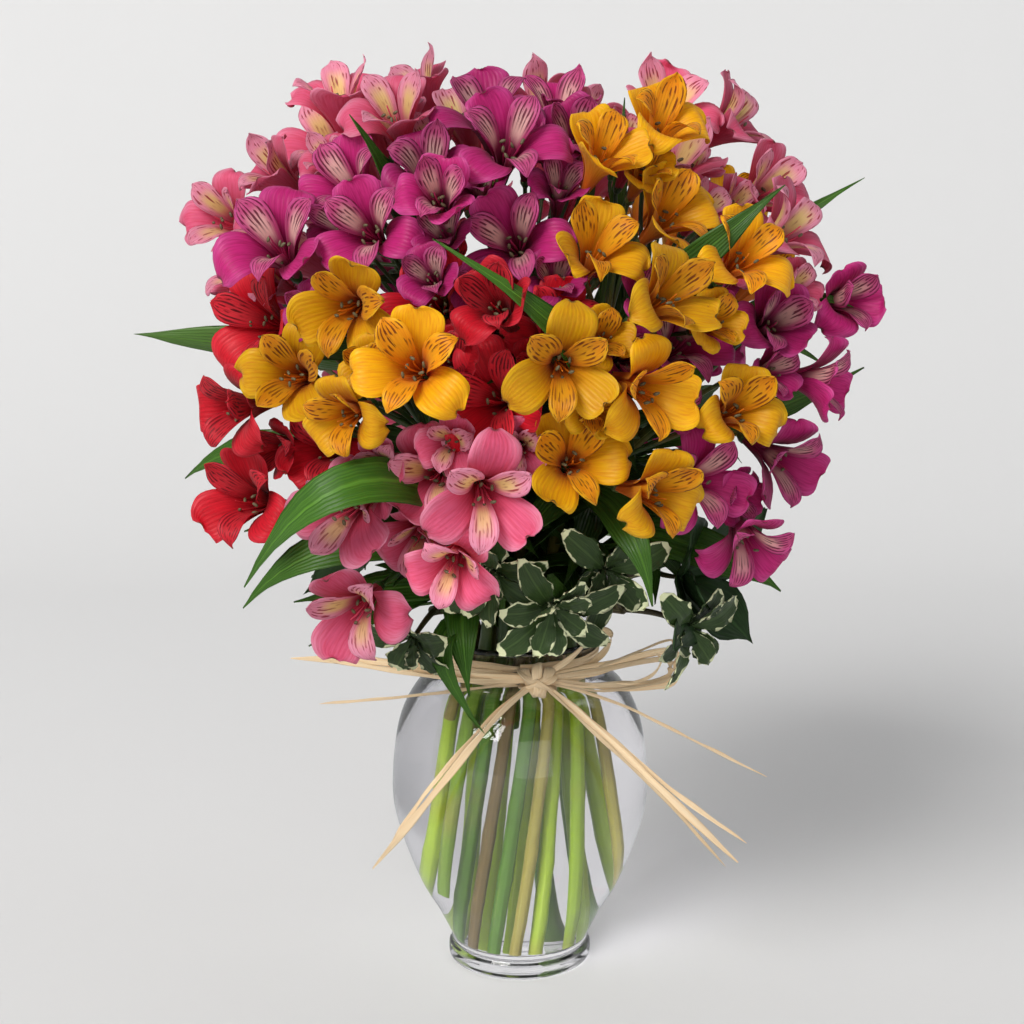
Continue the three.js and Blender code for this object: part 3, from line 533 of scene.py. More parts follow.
def closed_sheet(parts, grid, thickness, part, zone):
    """Adds a grid of points as a thin closed body that is thinner at its edges."""
    rows, columns, _ = grid.shape
    along, across = np.gradient(grid, axis=0), np.gradient(grid, axis=1)
    normal = np.cross(across, along)
    normal /= np.maximum(np.linalg.norm(normal, axis=2), 1e-9)[..., None]
    side = np.linspace(-1, 1, columns)
    half = 0.5 * thickness * (1 - 0.55 * side ** 4)[None, :, None]
    vertices = np.concatenate([(grid + way * half).reshape(-1, 3) for way in (normal, -normal)])
    maps = [(0.5 + 0.5 * s, v) for v in np.linspace(0, 1, rows) for s in side] * 2
    under = rows * columns
    at = lambda i, j: i * columns + j
    faces = []
    for i in range(rows - 1):
        for j in range(columns - 1):
            quad = (at(i, j), at(i, j + 1), at(i + 1, j + 1), at(i + 1, j))
            faces += [quad, tuple(under + k for k in reversed(quad))]
    rim = [at(0, j) for j in range(columns)] + [at(i, columns - 1) for i in range(1, rows)]
    rim += [at(rows - 1, j) for j in range(columns - 2, -1, -1)]
    rim += [at(i, 0) for i in range(rows - 2, 0, -1)]
    faces += [(b, a, under + a, under + b) for a, b in zip(rim, rim[1:] + rim[:1])]
    parts.add(vertices, faces, maps, part, zone)


def tepal_grid(rows, columns, steps, spin, droop, ruffle, twist, sway, notch, phase):
    """The middle surface of one tepal, turned to its place round the flower's axis."""
    sections = smooth(rows, steps)
    count = len(sections)
    tangent = np.gradient(sections[:, :2], axis=0)
    tangent /= np.linalg.norm(tangent, axis=1)[:, None]
    grid = np.zeros((count, columns, 3))
    for i, (radius, height, half, curl) in enumerate(sections):
        v = i / (count - 1)
        flare = max(0.0, v - 0.4) ** 2
        radius += 14 * droop * flare
        height -= 34 * droop * flare
        inward = np.array([-tangent[i, 1], tangent[i, 0]])
        for j, s in enumerate(np.linspace(-1, 1, columns)):
            curl_now = max(curl, 0.02)
            bent = curl_now > 0.3
            across = half * math.sin(curl_now * s) / math.sin(curl_now) if bent else half * s
            rise = half * (1 - math.cos(curl_now * s)) / curl_now
            wave = math.sin(11 * v + phase) if s > 0 else math.sin(9.4 * v + 2.3 * phase)
            rise += ruffle * (abs(s) ** 2.4 * wave + 0.35 * math.sin(6 * v + 3 * s + phase)) * v * v
            rise += across * math.tan(twist * v) - 0.4 * math.exp(-(s / 0.16) ** 2) * (1 - v)
            dent = notch * math.exp(-(s / 0.45) ** 2) * max(0.0, v - 0.8) / 0.2
            x, z = np.array([radius, height]) + inward * rise - tangent[i] * dent
            turn = spin + sway * v * v
            grid[i, j] = (x * math.cos(turn) - across * math.sin(turn),
                          x * math.sin(turn) + across * math.cos(turn), z)
    return grid


def round_body(parts, path, radii, sides, part, zone, ribs=0.0):
    """A closed round body along a path, with a radius at each of its points."""
    path = [Vector(p) for p in path]
    vertices, maps = [path[0]], [(0.5, 0.0)]
    for i, (middle, radius) in enumerate(zip(path[1:-1], radii)):
        along = (path[i + 2] - path[i]).normalized()
        first = along.orthogonal().normalized()
        second = along.cross(first)
        for k in range(sides):
            angle = 2 * math.pi * k / sides
            reach = radius * (1 + ribs * (k % 2))
            vertices.append(middle + reach * (math.cos(angle) * first + math.sin(angle) * second))
            maps.append((k / sides, (i + 1) / (len(path) - 1)))
    vertices.append(path[-1])
    maps.append((0.5, 1.0))
    at = lambda row, k: 1 + row * sides + k % sides
    last = len(path) - 3
    faces = [(0, at(0, k + 1), at(0, k)) for k in range(sides)]
    faces += between_rings(at, last, sides)
    faces += [(at(last, k), at(last, k + 1), len(vertices) - 1) for k in range(sides)]
    parts.add(vertices, faces, maps, part, zone)


def stamen(parts, rng, k, openness):
    """A thin bowed filament with an anther on its end."""
    angle = math.radians(60 * k + 20)
    reach = rng.uniform(1.2, 4.2) * openness
    length = rng.uniform(14, 24)
    path = []
    for i in range(8):
        v = i / 7
        sag = -4.5 * v * v + 3.5 * v ** 4
        path.append((1.1 * math.cos(angle) + reach * v ** 1.6 * math.cos(angle) + sag,
                     1.1 * math.sin(angle) + reach * v ** 1.6 * math.sin(angle), 6 + length * v))
    round_body(parts, path, [0.42] * 5 + [0.3], 4, PART_INNER, 0.0)
    end = Vector(path[-1])
    lean = Vector((rng.uniform(-1, 1), rng.uniform(-1, 1), 0.5)).normalized()
    anther = [end + lean * step for step in (-1.6, -1.1, 0, 1.1, 1.6)]
    round_body(parts, anther, [0.6, 0.8, 0.6], 6, PART_INNER, 1.0)


def floret_shape(name, seed, openness):
    """One whole floret, standing up from the origin."""
    rng = random.Random(seed)
    parts = MeshParts()
    for k, turn in enumerate(TEPAL_TURNS):
        outer = k % 2 == 0
        rows, zone = (OUTER_TEPAL, 0.0) if outer else (INNER_TEPAL, 1.0 if k != LOWEST else 0.75)
        breadth = rng.uniform(0.92, 1.06) * (0.85 if k == LOWEST else 1.0)
        longer = 1 + 0.14 * (1 - openness)
        opened = [(r * (1 + (openness - 1) * min(1, h / 26)), h * longer, half * breadth, curl)
                  for r, h, half, curl in rows]
        droop = rng.uniform(-0.45, 0.8) if outer else rng.uniform(-0.5, 0.6)
        ruffle = rng.uniform(1.4, 3.0) if outer else rng.uniform(0.8, 1.8)
        detail = YOUNG_GRID if name == "floret_young" else GROWN_GRID
        grid = tepal_grid(opened, *detail, math.radians(turn + rng.uniform(-7, 7)), droop, ruffle,
                          math.radians(rng.uniform(-24, 24)), math.radians(rng.uniform(-11, 11)),
                          rng.uniform(0.8, 2.2) if outer else 0.0, rng.uniform(0, 6))
        closed_sheet(parts, grid, TEPAL_THICKNESS, PART_PETAL, zone)
    for k in range(6):
        stamen(parts, rng, k, openness)
    style = [(0, 0, 5), (0, 0, 12), (-1, 0, 20), (-1.5, 0.5, 28), (-1.2, 1, 33), (-1.2, 1, 33.6)]
    round_body(parts, style, [0.45, 0.4, 0.35, 0.3], 4, PART_INNER, 0.3)
    ovary = [(0, 0, z) for z in (-4.2, -3.4, -1.2, 1.4, 3.2, 4.2)]
    round_body(parts, ovary, [1.5, 2.5, 2.7, 1.9], 12, PART_STALK, 0.0, ribs=0.12)
    return parts.as_object(name)


FIRST_SEED = 40
FLORET_OPENNESS = {"floret_wide": 1.1, "floret_full": 1.04, "floret_open": 1.0,
                   "floret_turned": 0.95, "floret_loose": 0.9, "floret_cupped": 0.84,
                   "floret_half_open": 0.72, "floret_young": 0.78}
floret_shapes = [floret_shape(name, FIRST_SEED + i, openness)
                 for i, (name, openness) in enumerate(FLORET_OPENNESS.items())]
YOUNG = len(floret_shapes) - 1

# ----------------------------------------------------------------------
# How plants are put together: round stems and stalks along their paths, flat blades along theirs, and
# copies of the floret shapes on their points. Paths and points carry their sizes as attributes.
SHAPE_INPUTS = [f"Shape {i}" for i in range(len(floret_shapes))]
PART_MATERIALS = ("Stem material", "Blade material", "Petal material", "Inner material")


def new_group(kind, name, inputs, outputs):
    """A node tree with named inputs, some with a first value, and named outputs."""
    tree = bpy.data.node_groups.new(name, kind)
    for label, socket, *first in inputs:
        made = tree.interface.new_socket(label, in_out="INPUT", socket_type=f"NodeSocket{socket}")
        if first:
            made.default_value = first[0]
    for label, socket in outputs:
        tree.interface.new_socket(label, in_out="OUTPUT", socket_type=f"NodeSocket{socket}")
    return tree, node(tree, "NodeGroupInput")


def plant_tree():
    """Grows a piece: points of kind 0 are stems, those of kind 1 blades, and the rest carry florets."""
    tree, given = new_group("GeometryNodeTree", "grow_plant", [
        ("Geometry", "Geometry"), ("Stem sides", "Int", 10), ("Blade points", "Int", 16),
        ("Blade fold", "Float", 0.2), ("Blade thickness", "Float", 0.05), ("Edge wave", "Float", 0.0006),
        ("Waves", "Float", 3.0), *[(name, "Object") for name in SHAPE_INPUTS],
        *[(name, "Material") for name in PART_MATERIALS]], [("Geometry", "Geometry")])

    def add(kind, inputs=(), **settings):
        return node(tree, "GeometryNode" + kind, inputs, **settings)

    def named(name, kind="FLOAT"):
        return add("InputNamedAttribute", {"Name": name}, data_type=kind)

    def is_number(name, number):
        return node(tree, "FunctionNodeCompare", {2: named(name, "INT"), 3: number},
                    data_type="INT", operation="EQUAL")

    def store(geometry, name, value, kind="FLOAT", domain="POINT"):
        inputs = {"Geometry": geometry, "Name": name, "Value": value}
        return add("StoreNamedAttribute", inputs, data_type=kind, domain=domain)

    def split(geometry, number):
        chosen = {"Geometry": geometry, "Selection": is_number("kind", number)}
        parted = add("SeparateGeometry", chosen, domain="POINT")
        return parted["Selection"], parted["Inverted"]

    def swept(curve, profile, sideways):
        """The profile along the curve, scaled by the path's own size, with its map."""
        curve = store(curve, "along", add("SplineParameter"))
        profile = store(profile, "across", sideways)
        mesh = add("CurveToMesh", {
            "Curve": curve, "Profile Curve": profile, "Scale": named("size"), "Fill Caps": True})
        both = node(tree, "ShaderNodeCombineXYZ", {0: named("across"), 1: named("along")})
        return store(mesh, "UVMap", both, "FLOAT2", "CORNER")

    stems, rest = split(given["Geometry"], 0)
    blades, points = split(rest, 1)
    circle = add("CurvePrimitiveCircle", {"Resolution": given["Stem sides"], "Radius": 1.0})
    stem_mesh = swept(add("MeshToCurve", {"Mesh": stems}), circle, add("SplineParameter"))

    spine = add("SetCurveNormal", {"Curve": add("MeshToCurve", {"Mesh": blades}),
                                   "Normal": named("sideways", "FLOAT_VECTOR")}, mode="FREE")
    oval = add("CurvePrimitiveCircle", {"Resolution": given["Blade points"], "Radius": 1.0})
    x, y, _ = add("InputPosition").parted()
    level = y.scaled(given["Blade thickness"], given["Blade fold"] * abs(x) ** 1.3)
    oval = store(store(oval, "top", y), "across", x.scaled(0.5, 0.5))
    flat = node(tree, "ShaderNodeCombineXYZ", {0: x, 1: level})
    oval = add("SetPosition", {"Geometry": oval, "Position": flat})
    blade_mesh = swept(spine, oval, named("across"))
    edge = abs(named("across").scaled(2.0, -1.0)) ** 2.0
    turn = named("along") * given["Waves"] * (2 * math.pi)
    swing = named("tone").scaled(20.0, named("across").scaled(2.6, turn)).maths("SINE")
    wave = swing * edge * given["Edge wave"] * named("top").maths("SIGN")
    lift = node(tree, "ShaderNodeVectorMath", {0: add("InputNormal"), "Scale": wave}, operation="SCALE")
    blade_mesh = add("SetPosition", {"Geometry": blade_mesh, "Offset": lift})
    blade_mesh = store(blade_mesh, "part", PART_BLADE, "INT")

    shapes, whole = (tree.nodes.new("GeometryNodeJoinGeometry") for _ in range(2))
    for name in reversed(SHAPE_INPUTS):
        feed(shapes, {0: add("ObjectInfo", {"Object": given[name], "As Instance": True})["Geometry"]})
    copies = add("InstanceOnPoints", {
        "Points": points, "Instance": Wire(shapes.outputs[0]), "Pick Instance": True,
        "Instance Index": named("shape", "INT"), "Scale": named("size"),
        "Rotation": node(tree, "FunctionNodeEulerToRotation", {0: named("spin", "FLOAT_VECTOR")})})
    for branch in (copies, blade_mesh, stem_mesh):
        feed(whole, {0: branch})
    real = add("SetShadeSmooth", {"Geometry": add("RealizeInstances", {0: Wire(whole.outputs[0])})})
    for number, name in enumerate(PART_MATERIALS):
        chosen = {"Geometry": real, "Selection": is_number("part", number), "Material": given[name]}
        real = add("SetMaterial", chosen)
    feed(tree.nodes.new("NodeGroupOutput"), {0: real})
    return tree


grow_plant = plant_tree()


class Growth:
    """The paths and points of one piece, gathered before the tree grows it."""
    fields = {"kind": (0, "INT"), "shape": (0, "INT"), "size": (1.0, "FLOAT"), "tone": (0.5, "FLOAT"),
              "sideways": ((1, 0, 0), "FLOAT_VECTOR"), "spin": ((0, 0, 0), "FLOAT_VECTOR")}

    def __init__(self):
        self.points, self.edges = [], []
        self.values = {name: [] for name in self.fields}

    def put(self, point, **values):
        self.points.append(Vector(point) * MM)
        for name, (usual, _) in self.fields.items():
            self.values[name].append(values.get(name, usual))

    def chain(self, path, sizes, **values):
        """A path of joined points. Each point has its own size and, on a blade, its own sideways way."""
        ways = values.pop("sideways", [(1, 0, 0)] * len(path))
        first = len(self.points)
        for point, size, way in zip(path, sizes, ways):
            self.put(point, size=size * MM, sideways=tuple(way), **values)
        self.edges += [(i, i + 1) for i in range(first, len(self.points) - 1)]

    def stalk(self, path, sizes, tone):
        self.chain(path, sizes, kind=0, tone=tone)

    def blade(self, path, sideways, sizes, tone):
        self.chain(path, sizes, kind=1, tone=tone, sideways=sideways)

    def grown(self, name, materials, shapes=(), **inputs):
        """The finished plain mesh of the piece."""
        seed = new_object(name + "_paths", self.points, [], self.edges)
        for label, (_, kind) in self.fields.items():
            values = np.array(self.values[label]).ravel()
            made = seed.data.attributes.new(label, kind, "POINT")
            made.data.foreach_set("vector" if kind == "FLOAT_VECTOR" else "value", values)
        grower = seed.modifiers.new("grow", "NODES")
        grower.node_group = grow_plant
        sockets = {s.name: s.identifier for s in grow_plant.interface.items_tree if s.in_out == "INPUT"}
        inputs.update(zip(SHAPE_INPUTS, shapes))
        inputs.update(zip(PART_MATERIALS, materials))
        for label, value in inputs.items():
            grower[sockets[label]] = value
        graph = bpy.context.evaluated_depsgraph_get()
        mesh = bpy.data.meshes.new_from_object(seed.evaluated_get(graph), depsgraph=graph)
        mesh.name = name
        bpy.data.objects.remove(seed)
        return placed(name, mesh)


# ----------------------------------------------------------------------
# Flower heads: 3 to 6 florets on bowed stalks from one umbel. The tepals are waxy and faintly veined;
# the inner ones carry a pale patch and rows of dark dashes.


def noise(where, scale, detail):
    inputs = {"Vector": where, "Scale": scale, "Detail": detail}
    return node(where.tree, "ShaderNodeTexNoise", inputs)["Fac"]


def together(*shares):
    """A vector of up to three wires."""
    return node(shares[0].tree, "ShaderNodeCombineXYZ", enumerate(shares))


def dash_group():
    """Rows of broken dashes that run along the map's second direction."""
    group, given = new_group("ShaderNodeTree", "rows_of_dashes", [
        ("Map", "Vector", (0, 0, 0)), ("Rows", "Float", 9.0), ("Width", "Float", 0.2),
        ("Breaks", "Float", 6.0), ("Amount", "Float", 0.5), ("Seed", "Float", 0.0)], [("Mask", "Float")])
    u, v, _ = given["Map"].parted()
    count = u * given["Rows"]
    off = abs(count.maths("FRACT") - 0.5)
    line = 1.0 - off.ranged(given["Width"] * 0.5, given["Width"])
    row = count.maths("FLOOR").scaled(3.7, given["Seed"])
    broken = noise(together(row, v * given["Breaks"]), 1.0, 0.0)
    least = 1.0 - given["Amount"]
    mask = line * broken.ranged(least - 0.06, least + 0.06)
    feed(group.nodes.new("NodeGroupOutput"), {0: mask})
    return group


def vein_group():
    """Fine parallel veins along the map's second direction, as a height."""
    group, given = new_group("ShaderNodeTree", "parallel_veins", [
        ("Map", "Vector", (0, 0, 0)), ("Count", "Float", 24.0), ("Roughness", "Float", 0.3)],
        [("Height", "Float"), ("Mottle", "Float"), ("Ridges", "Float")])
    u, v, _ = given["Map"].parted()
    ridges = (u * given["Count"] * (2 * math.pi)).maths("SINE")
    mottle = noise(together(u * 30.0, v * 5.0), 1.0, 1.5)
    height = mottle.scaled(given["Roughness"], ridges * 0.5)
    feed(group.nodes.new("NodeGroupOutput"), {0: height, 1: mottle, 2: ridges})
    return group


def mapped(tree):
    return node(tree, "ShaderNodeUVMap", uv_map="UVMap")


def standing(tree):
    return node(tree, "ShaderNodeTexCoord")["Object"]


def attribute(tree, name):
    return node(tree, "ShaderNodeAttribute", attribute_name=name)["Fac"]


def veined(where, count, roughness):
    inputs = {"Map": where, "Count": count, "Roughness": roughness}
    return node(where.tree, "ShaderNodeGroup", inputs, node_tree=parallel_veins)


def toned(colour, tone, spread, least):
    """The colour as bright or as dark as its own leaf, stem or floret."""
    inputs = {"Color": colour, "Value": tone.scaled(spread, least)}
    return node(colour.tree, "ShaderNodeHueSaturation", inputs)


def bumped(height, strength, distance):
    inputs = {"Height": height, "Strength": strength, "Distance": distance}
    return node(height.tree, "ShaderNodeBump", inputs)


rows_of_dashes = dash_group()
parallel_veins = vein_group()

# face of the outer tepals, the painted shade at their base deep in the throat, their edges, the inner
# tepals, the patch, the dashes, the filament
PETAL_COLOURS = {
    "pink": ("EE6890", "D83450", "F4AAC6", "F4A6C0", "F6DA90", "A02034", "E04E6C"),
    "magenta": ("CE2A80", "900A3C", "DC58A4", "D0548C", "F4CCC0", "64082E", "A82458"),
    "yellow": ("F3B80A", "D66A10", "FACE18", "EE9E0C", "F4BE20", "74260A", "DC7810"),
    "red": ("E2182E", "960812", "EC3A4C", "DC2234", "E04C54", "54040E", "B81624"),
}
PATCH = {"pink": 0.95, "magenta": 0.85, "yellow": 0.5, "red": 0.3}
DASHES = {"pink": 0.44, "magenta": 0.6, "yellow": 0.5, "red": 0.56}


def petal_material(colour):
    """A tepal with painted shade at its base, deep in the flower's throat, to its darker tip, with the
    inner ones' pale patch and dashes.
    """
    face, base, edge, inner, patch, dash, _ = map(paint, PETAL_COLOURS[colour])
    material, tree, shader = new_material(
        f"{colour}_tepal", Roughness=0.5, Specular_IOR_Level=0.3, Sheen_Weight=0.05)
    where = mapped(tree)
    u, v, _ = where.parted()
    tone, zone = attribute(tree, "tone"), attribute(tree, "zone")
    out = abs(u.scaled(2.0, -1.0))
    veins = veined(where, 11.0, 0.6)
    mottle = veins["Mottle"]
    shade = zone.ranged(0.4, 0.6).blend(face, inner)
    shade = (out.ranged(0.35, 1.0) * v.ranged(0.35, 0.8) * 0.75).blend(shade, edge)
    # random mottle, in blotches of the painted shade colour from the throat
    shade = mottle.ranged(0.35, 0.75, 0.0, 0.4).blend(shade, base)
    # painted shade: darker towards the tepal's base, deep in the throat of the flower
    shade = v.ranged(0.1, 0.52, 1.0, 0.0).blend(shade, base)
    middle = v.ranged(0.26, 0.4) * v.ranged(0.46, 0.68, 1.0, 0.0) * out.ranged(0.25, 0.8, 1.0, 0.0)
    shade = (middle * zone * PATCH[colour]).blend(shade, patch)
    bent = node(tree, "ShaderNodeVectorMath", {0: mottle, 1: (0.12, 0.08, 0.0), 2: where},
                operation="MULTIPLY_ADD")
    dashes = node(tree, "ShaderNodeGroup", {
        "Map": bent, "Rows": 8.0, "Width": 0.26, "Breaks": 8.0, "Amount": DASHES[colour],
        "Seed": tone * 40.0}, node_tree=rows_of_dashes)
    span = v.ranged(0.36, 0.5) * v.ranged(0.84, 0.94, 1.0, 0.0)
    shade = (dashes * span * zone * 0.9).blend(shade, dash)
    tip = v.ranged(0.94, 1.0) * out.ranged(0.2, 0.7, 0.8, 0.0)
    shade = toned(tip.blend(shade, paint("4E4226")), tone, 0.3, 0.84)
    feed(shader, {"Base Color": shade, "Roughness": mottle.ranged(0.3, 0.7, 0.42, 0.58),
                  "Normal": bumped(veins["Ridges"], 0.3, 0.00015)})
    # thin tissue: some of the light comes out on its other side
    mixed_with(tree, 0.3, node(tree, "ShaderNodeBsdfTranslucent", {"Color": shade}))
    return material


def inner_material(colour):
    """Filaments in the floret's colour, and dusty anthers."""
    material, tree, shader = new_material(f"{colour}_stamen", Roughness=0.55)
    dust = noise(standing(tree), 1800.0, 2.0)
    anther = dust.blend(paint("3E3A2C"), paint("7A7350"))
    shade = attribute(tree, "zone").ranged(0.5, 0.8).blend(paint(PETAL_COLOURS[colour][6]), anther)
    feed(shader, {"Base Color": shade, "Normal": bumped(dust, 0.5, 0.0002)})
    return material


def stem_material(name, *colours):
    """Fresh stem skin: fine ribs along the stem, blushed with a second green and with faint flecks, and
    painted shade in a darker colour above the vase's neck, inside the bouquet.
    """
    # the third colour is painted shade, for the stem above the neck
    low, deep, high, bark = map(paint, colours)
    material, tree, shader = new_material(name, Roughness=0.42)
    veins = veined(mapped(tree), 7.0, 0.8)
    place, tone = standing(tree), attribute(tree, "tone")
    shade = tone.ranged(0.25, 0.75).blend(deep, low)
    # painted shade: the stem turns darker above the vase's neck, where it runs into the shaded inside of
    # the bouquet
    shade = place.parted()[2].ranged(0.142, 0.168).blend(shade, high)
    shade = noise(place, 22.0, 2.0).ranged(0.5, 0.72, 0.0, 0.55).blend(shade, bark)
    shade = veins["Mottle"].ranged(0.62, 0.72, 0.0, 0.35).blend(shade, paint("C6D27C"))
    feed(shader, {"Base Color": toned(shade, tone, 0.5, 0.7),
                  "Normal": bumped(veins["Height"], 0.3, 0.0004)})
    return material


def leaf_material(name, relief, *colours):
    """A leaf with a paler midrib, parallel veins, a paler underside and, if given, a cream margin."""
    face, under, rib, *margin = map(paint, colours)
    material, tree, shader = new_material(name, Roughness=0.38, Specular_IOR_Level=0.26)
    where = mapped(tree)
    u, v, _ = where.parted()
    veins = veined(where, 9.0, 0.9)
    cloud = noise(standing(tree), 170.0, 2.0)
    out = abs(u.scaled(2.0, -1.0))
    shade = attribute(tree, "top").ranged(-0.2, 0.2).blend(under, face)
    shade = veins["Mottle"].ranged(0.35, 0.8, 0.0, 0.45).blend(shade, rib)
    shade = out.ranged(0.03, 0.12, 0.55, 0.0).blend(shade, rib)
    if margin:
        near_end = (out * v.ranged(0.15, 0.7, 0.84, 1.0)).maths("MAXIMUM", v.ranged(0.7, 0.98))
        shade = cloud.scaled(0.9, near_end).ranged(1.31, 1.38).blend(shade, margin[0])
    feed(shader, {"Base Color": toned(shade, attribute(tree, "tone"), 0.7, 0.65),
                  "Roughness": cloud.ranged(0.3, 0.7, 0.3, 0.48),
                  "Normal": bumped(veins["Height"], relief, 0.0005)})
    return material


# stem colours: a green, a second green, the painted shade above the neck, and the flecks
stem_skin = stem_material("alstroemeria_stem", "98B428", "56821E", "2E4A1A", "907E38")
leaf_skin = leaf_material("alstroemeria_leaf", 0.4, "2A4A14", "48682C", "4C7424")


def floret_turn(looks, rng):
    """The floret's turn from standing straight up with its first tepal along X."""
    level = Vector((0, 0, 1)).cross(looks).normalized()
    top = looks.cross(level)
    frame_turn = Matrix((top, looks.cross(top), looks)).transposed()
    roll = Matrix.Rotation(math.radians(rng.uniform(-30, 30)), 3, "Z")
    return (frame_turn @ roll).to_euler()


def bezier(a, b, c, count):
    """Points on the curve from a to c that leans to b."""
    shares = [i / (count - 1) for i in range(count)]
    return [a * (1 - t) ** 2 + b * 2 * (1 - t) * t + c * t * t for t in shares]


def direction(path, i):
    """Which way a path runs at one of its points."""
    return (path[min(i + 1, len(path) - 1)] - path[max(i - 1, 0)]).normalized()


def bladed(growth, start, via, tip, facing, half, profile, tone, twist=20.0):
    """A leaf on a curve. The profile gives its width from base to tip, and it twists by some degrees."""
    count = len(profile)
    path = bezier(start, via, tip, count)
    sideways = []
    for i in range(count):
        along = direction(path, i)
        across = along.cross(facing).normalized()
        turn = Matrix.Rotation(math.radians(twist * i / (count - 1)), 3, along)
        sideways.append(-(turn @ across))
    growth.blade(path, sideways, [half * share for share in profile], tone)


LANCE = [0.12, 0.3, 0.5, 0.7, 0.86, 0.96, 1.0, 0.98, 0.92, 0.82, 0.68, 0.5, 0.31, 0.14, 0.02]
UMBEL_KNOB = {"gap": 0.35, "height": 5.0, "radius": 3.4}
FLORET_STALK = 1.15
FLORET_SIZE = {"pink": 1.02, "magenta": 0.98, "yellow": 0.96, "red": 1.0}
LOOSE = 0.3  # how far a floret may look aside from its umbel's direction
YOUNG_SIZE = 0.74
YOUNG_DEPTH = 8.0  # behind the mouths of the flowers round it
YOUNG_CLEAR = 22.0
YOUNG_APART = 26.0
PAIR_REACH = 70.0


def looks_aside(flower, rng):
    """A floret looks somewhat aside from where its place on the dome faces."""
    aside = Vector((rng.uniform(-1, 1), rng.uniform(-1, 1), rng.uniform(-1, 1)))
    return (flower.faces() + aside * LOOSE).normalized()


def young_places():
    """Where three neighbouring flowers leave room for a younger one: its stem's plant, mouth and look."""
    grown = [(flower, plant) for plant in plants for flower in plant.flowers]
    found = []
    for i, (a, plant) in enumerate(grown):
        near = [pair for pair in grown[i + 1:] if (pair[0].mouth - a.mouth).length < PAIR_REACH]
        for (b, plant_b), (c, plant_c) in itertools.combinations(near, 2):
            if (b.mouth - c.mouth).length > PAIR_REACH:
                continue
            looks = (a.faces() + b.faces() + c.faces()).normalized()
            mouth = (a.mouth + b.mouth + c.mouth) / 3 - looks * YOUNG_DEPTH
            if min((flower.mouth - mouth).length for flower, _ in grown) < YOUNG_CLEAR:
                continue
            if all((mouth - other).length > YOUNG_APART for _, other, _ in found):
                owner = max((plant, plant_b, plant_c), key=lambda one: one.colour != "yellow")
                found.append((owner, mouth, looks))
    return found


young_ones = young_places()

tepals = {colour: petal_material(colour) for colour in PETAL_COLOURS}
stamens = {colour: inner_material(colour) for colour in PETAL_COLOURS}
for plant in plants:
    if not plant.flowers:
        continue
    rng = random.Random(plant.name)
    growth = Growth()
    start = plant.umbel + plant.towards * UMBEL_KNOB["gap"]
    end = start + plant.towards * UMBEL_KNOB["height"]
    knob = [start.lerp(end, t) for t in (0, 0.25, 0.6, 1)]
    growth.stalk(knob, [share * UMBEL_KNOB["radius"] for share in (0.8, 1.0, 0.9, 0.3)], rng.random())
    root = start.lerp(end, 0.5)
    for flower in plant.flowers:
        looks = looks_aside(flower, rng)
        base = flower.mouth - looks * FLOWER_LENGTH
        via = base - looks * (base - root).length * 0.42
        path = bezier(root, root.lerp(via, 0.9), base - looks * 3.5, 12)
        growth.stalk(path, [FLORET_STALK] * 11 + [FLORET_STALK * 1.3], rng.random())
        growth.put(base, kind=2, shape=rng.randrange(YOUNG),
                   size=rng.uniform(0.94, 1.06) * FLORET_SIZE[plant.colour],
                   tone=rng.random(), spin=tuple(floret_turn(looks, rng)))
    for owner, mouth, looks in young_ones:
        if owner is not plant:
            continue
        base = mouth - looks * FLOWER_LENGTH * YOUNG_SIZE
        path = bezier(root, base - looks * 12, base - looks * 2, 10)
        growth.stalk(path, [FLORET_STALK * 0.85] * 10, rng.random())
        growth.put(base, kind=2, shape=YOUNG, size=YOUNG_SIZE, tone=rng.uniform(0, 0.6),
                   spin=tuple(floret_turn(looks, rng)))
    materials = [stem_skin, leaf_skin, tepals[plant.colour], stamens[plant.colour]]
    head = growth.grown(plant.name + "_florets", materials, floret_shapes)
    finish_piece(head, "petal_" + plant.colour, plant.name + "_flowers")
for shape in floret_shapes:
    bpy.data.objects.remove(shape)

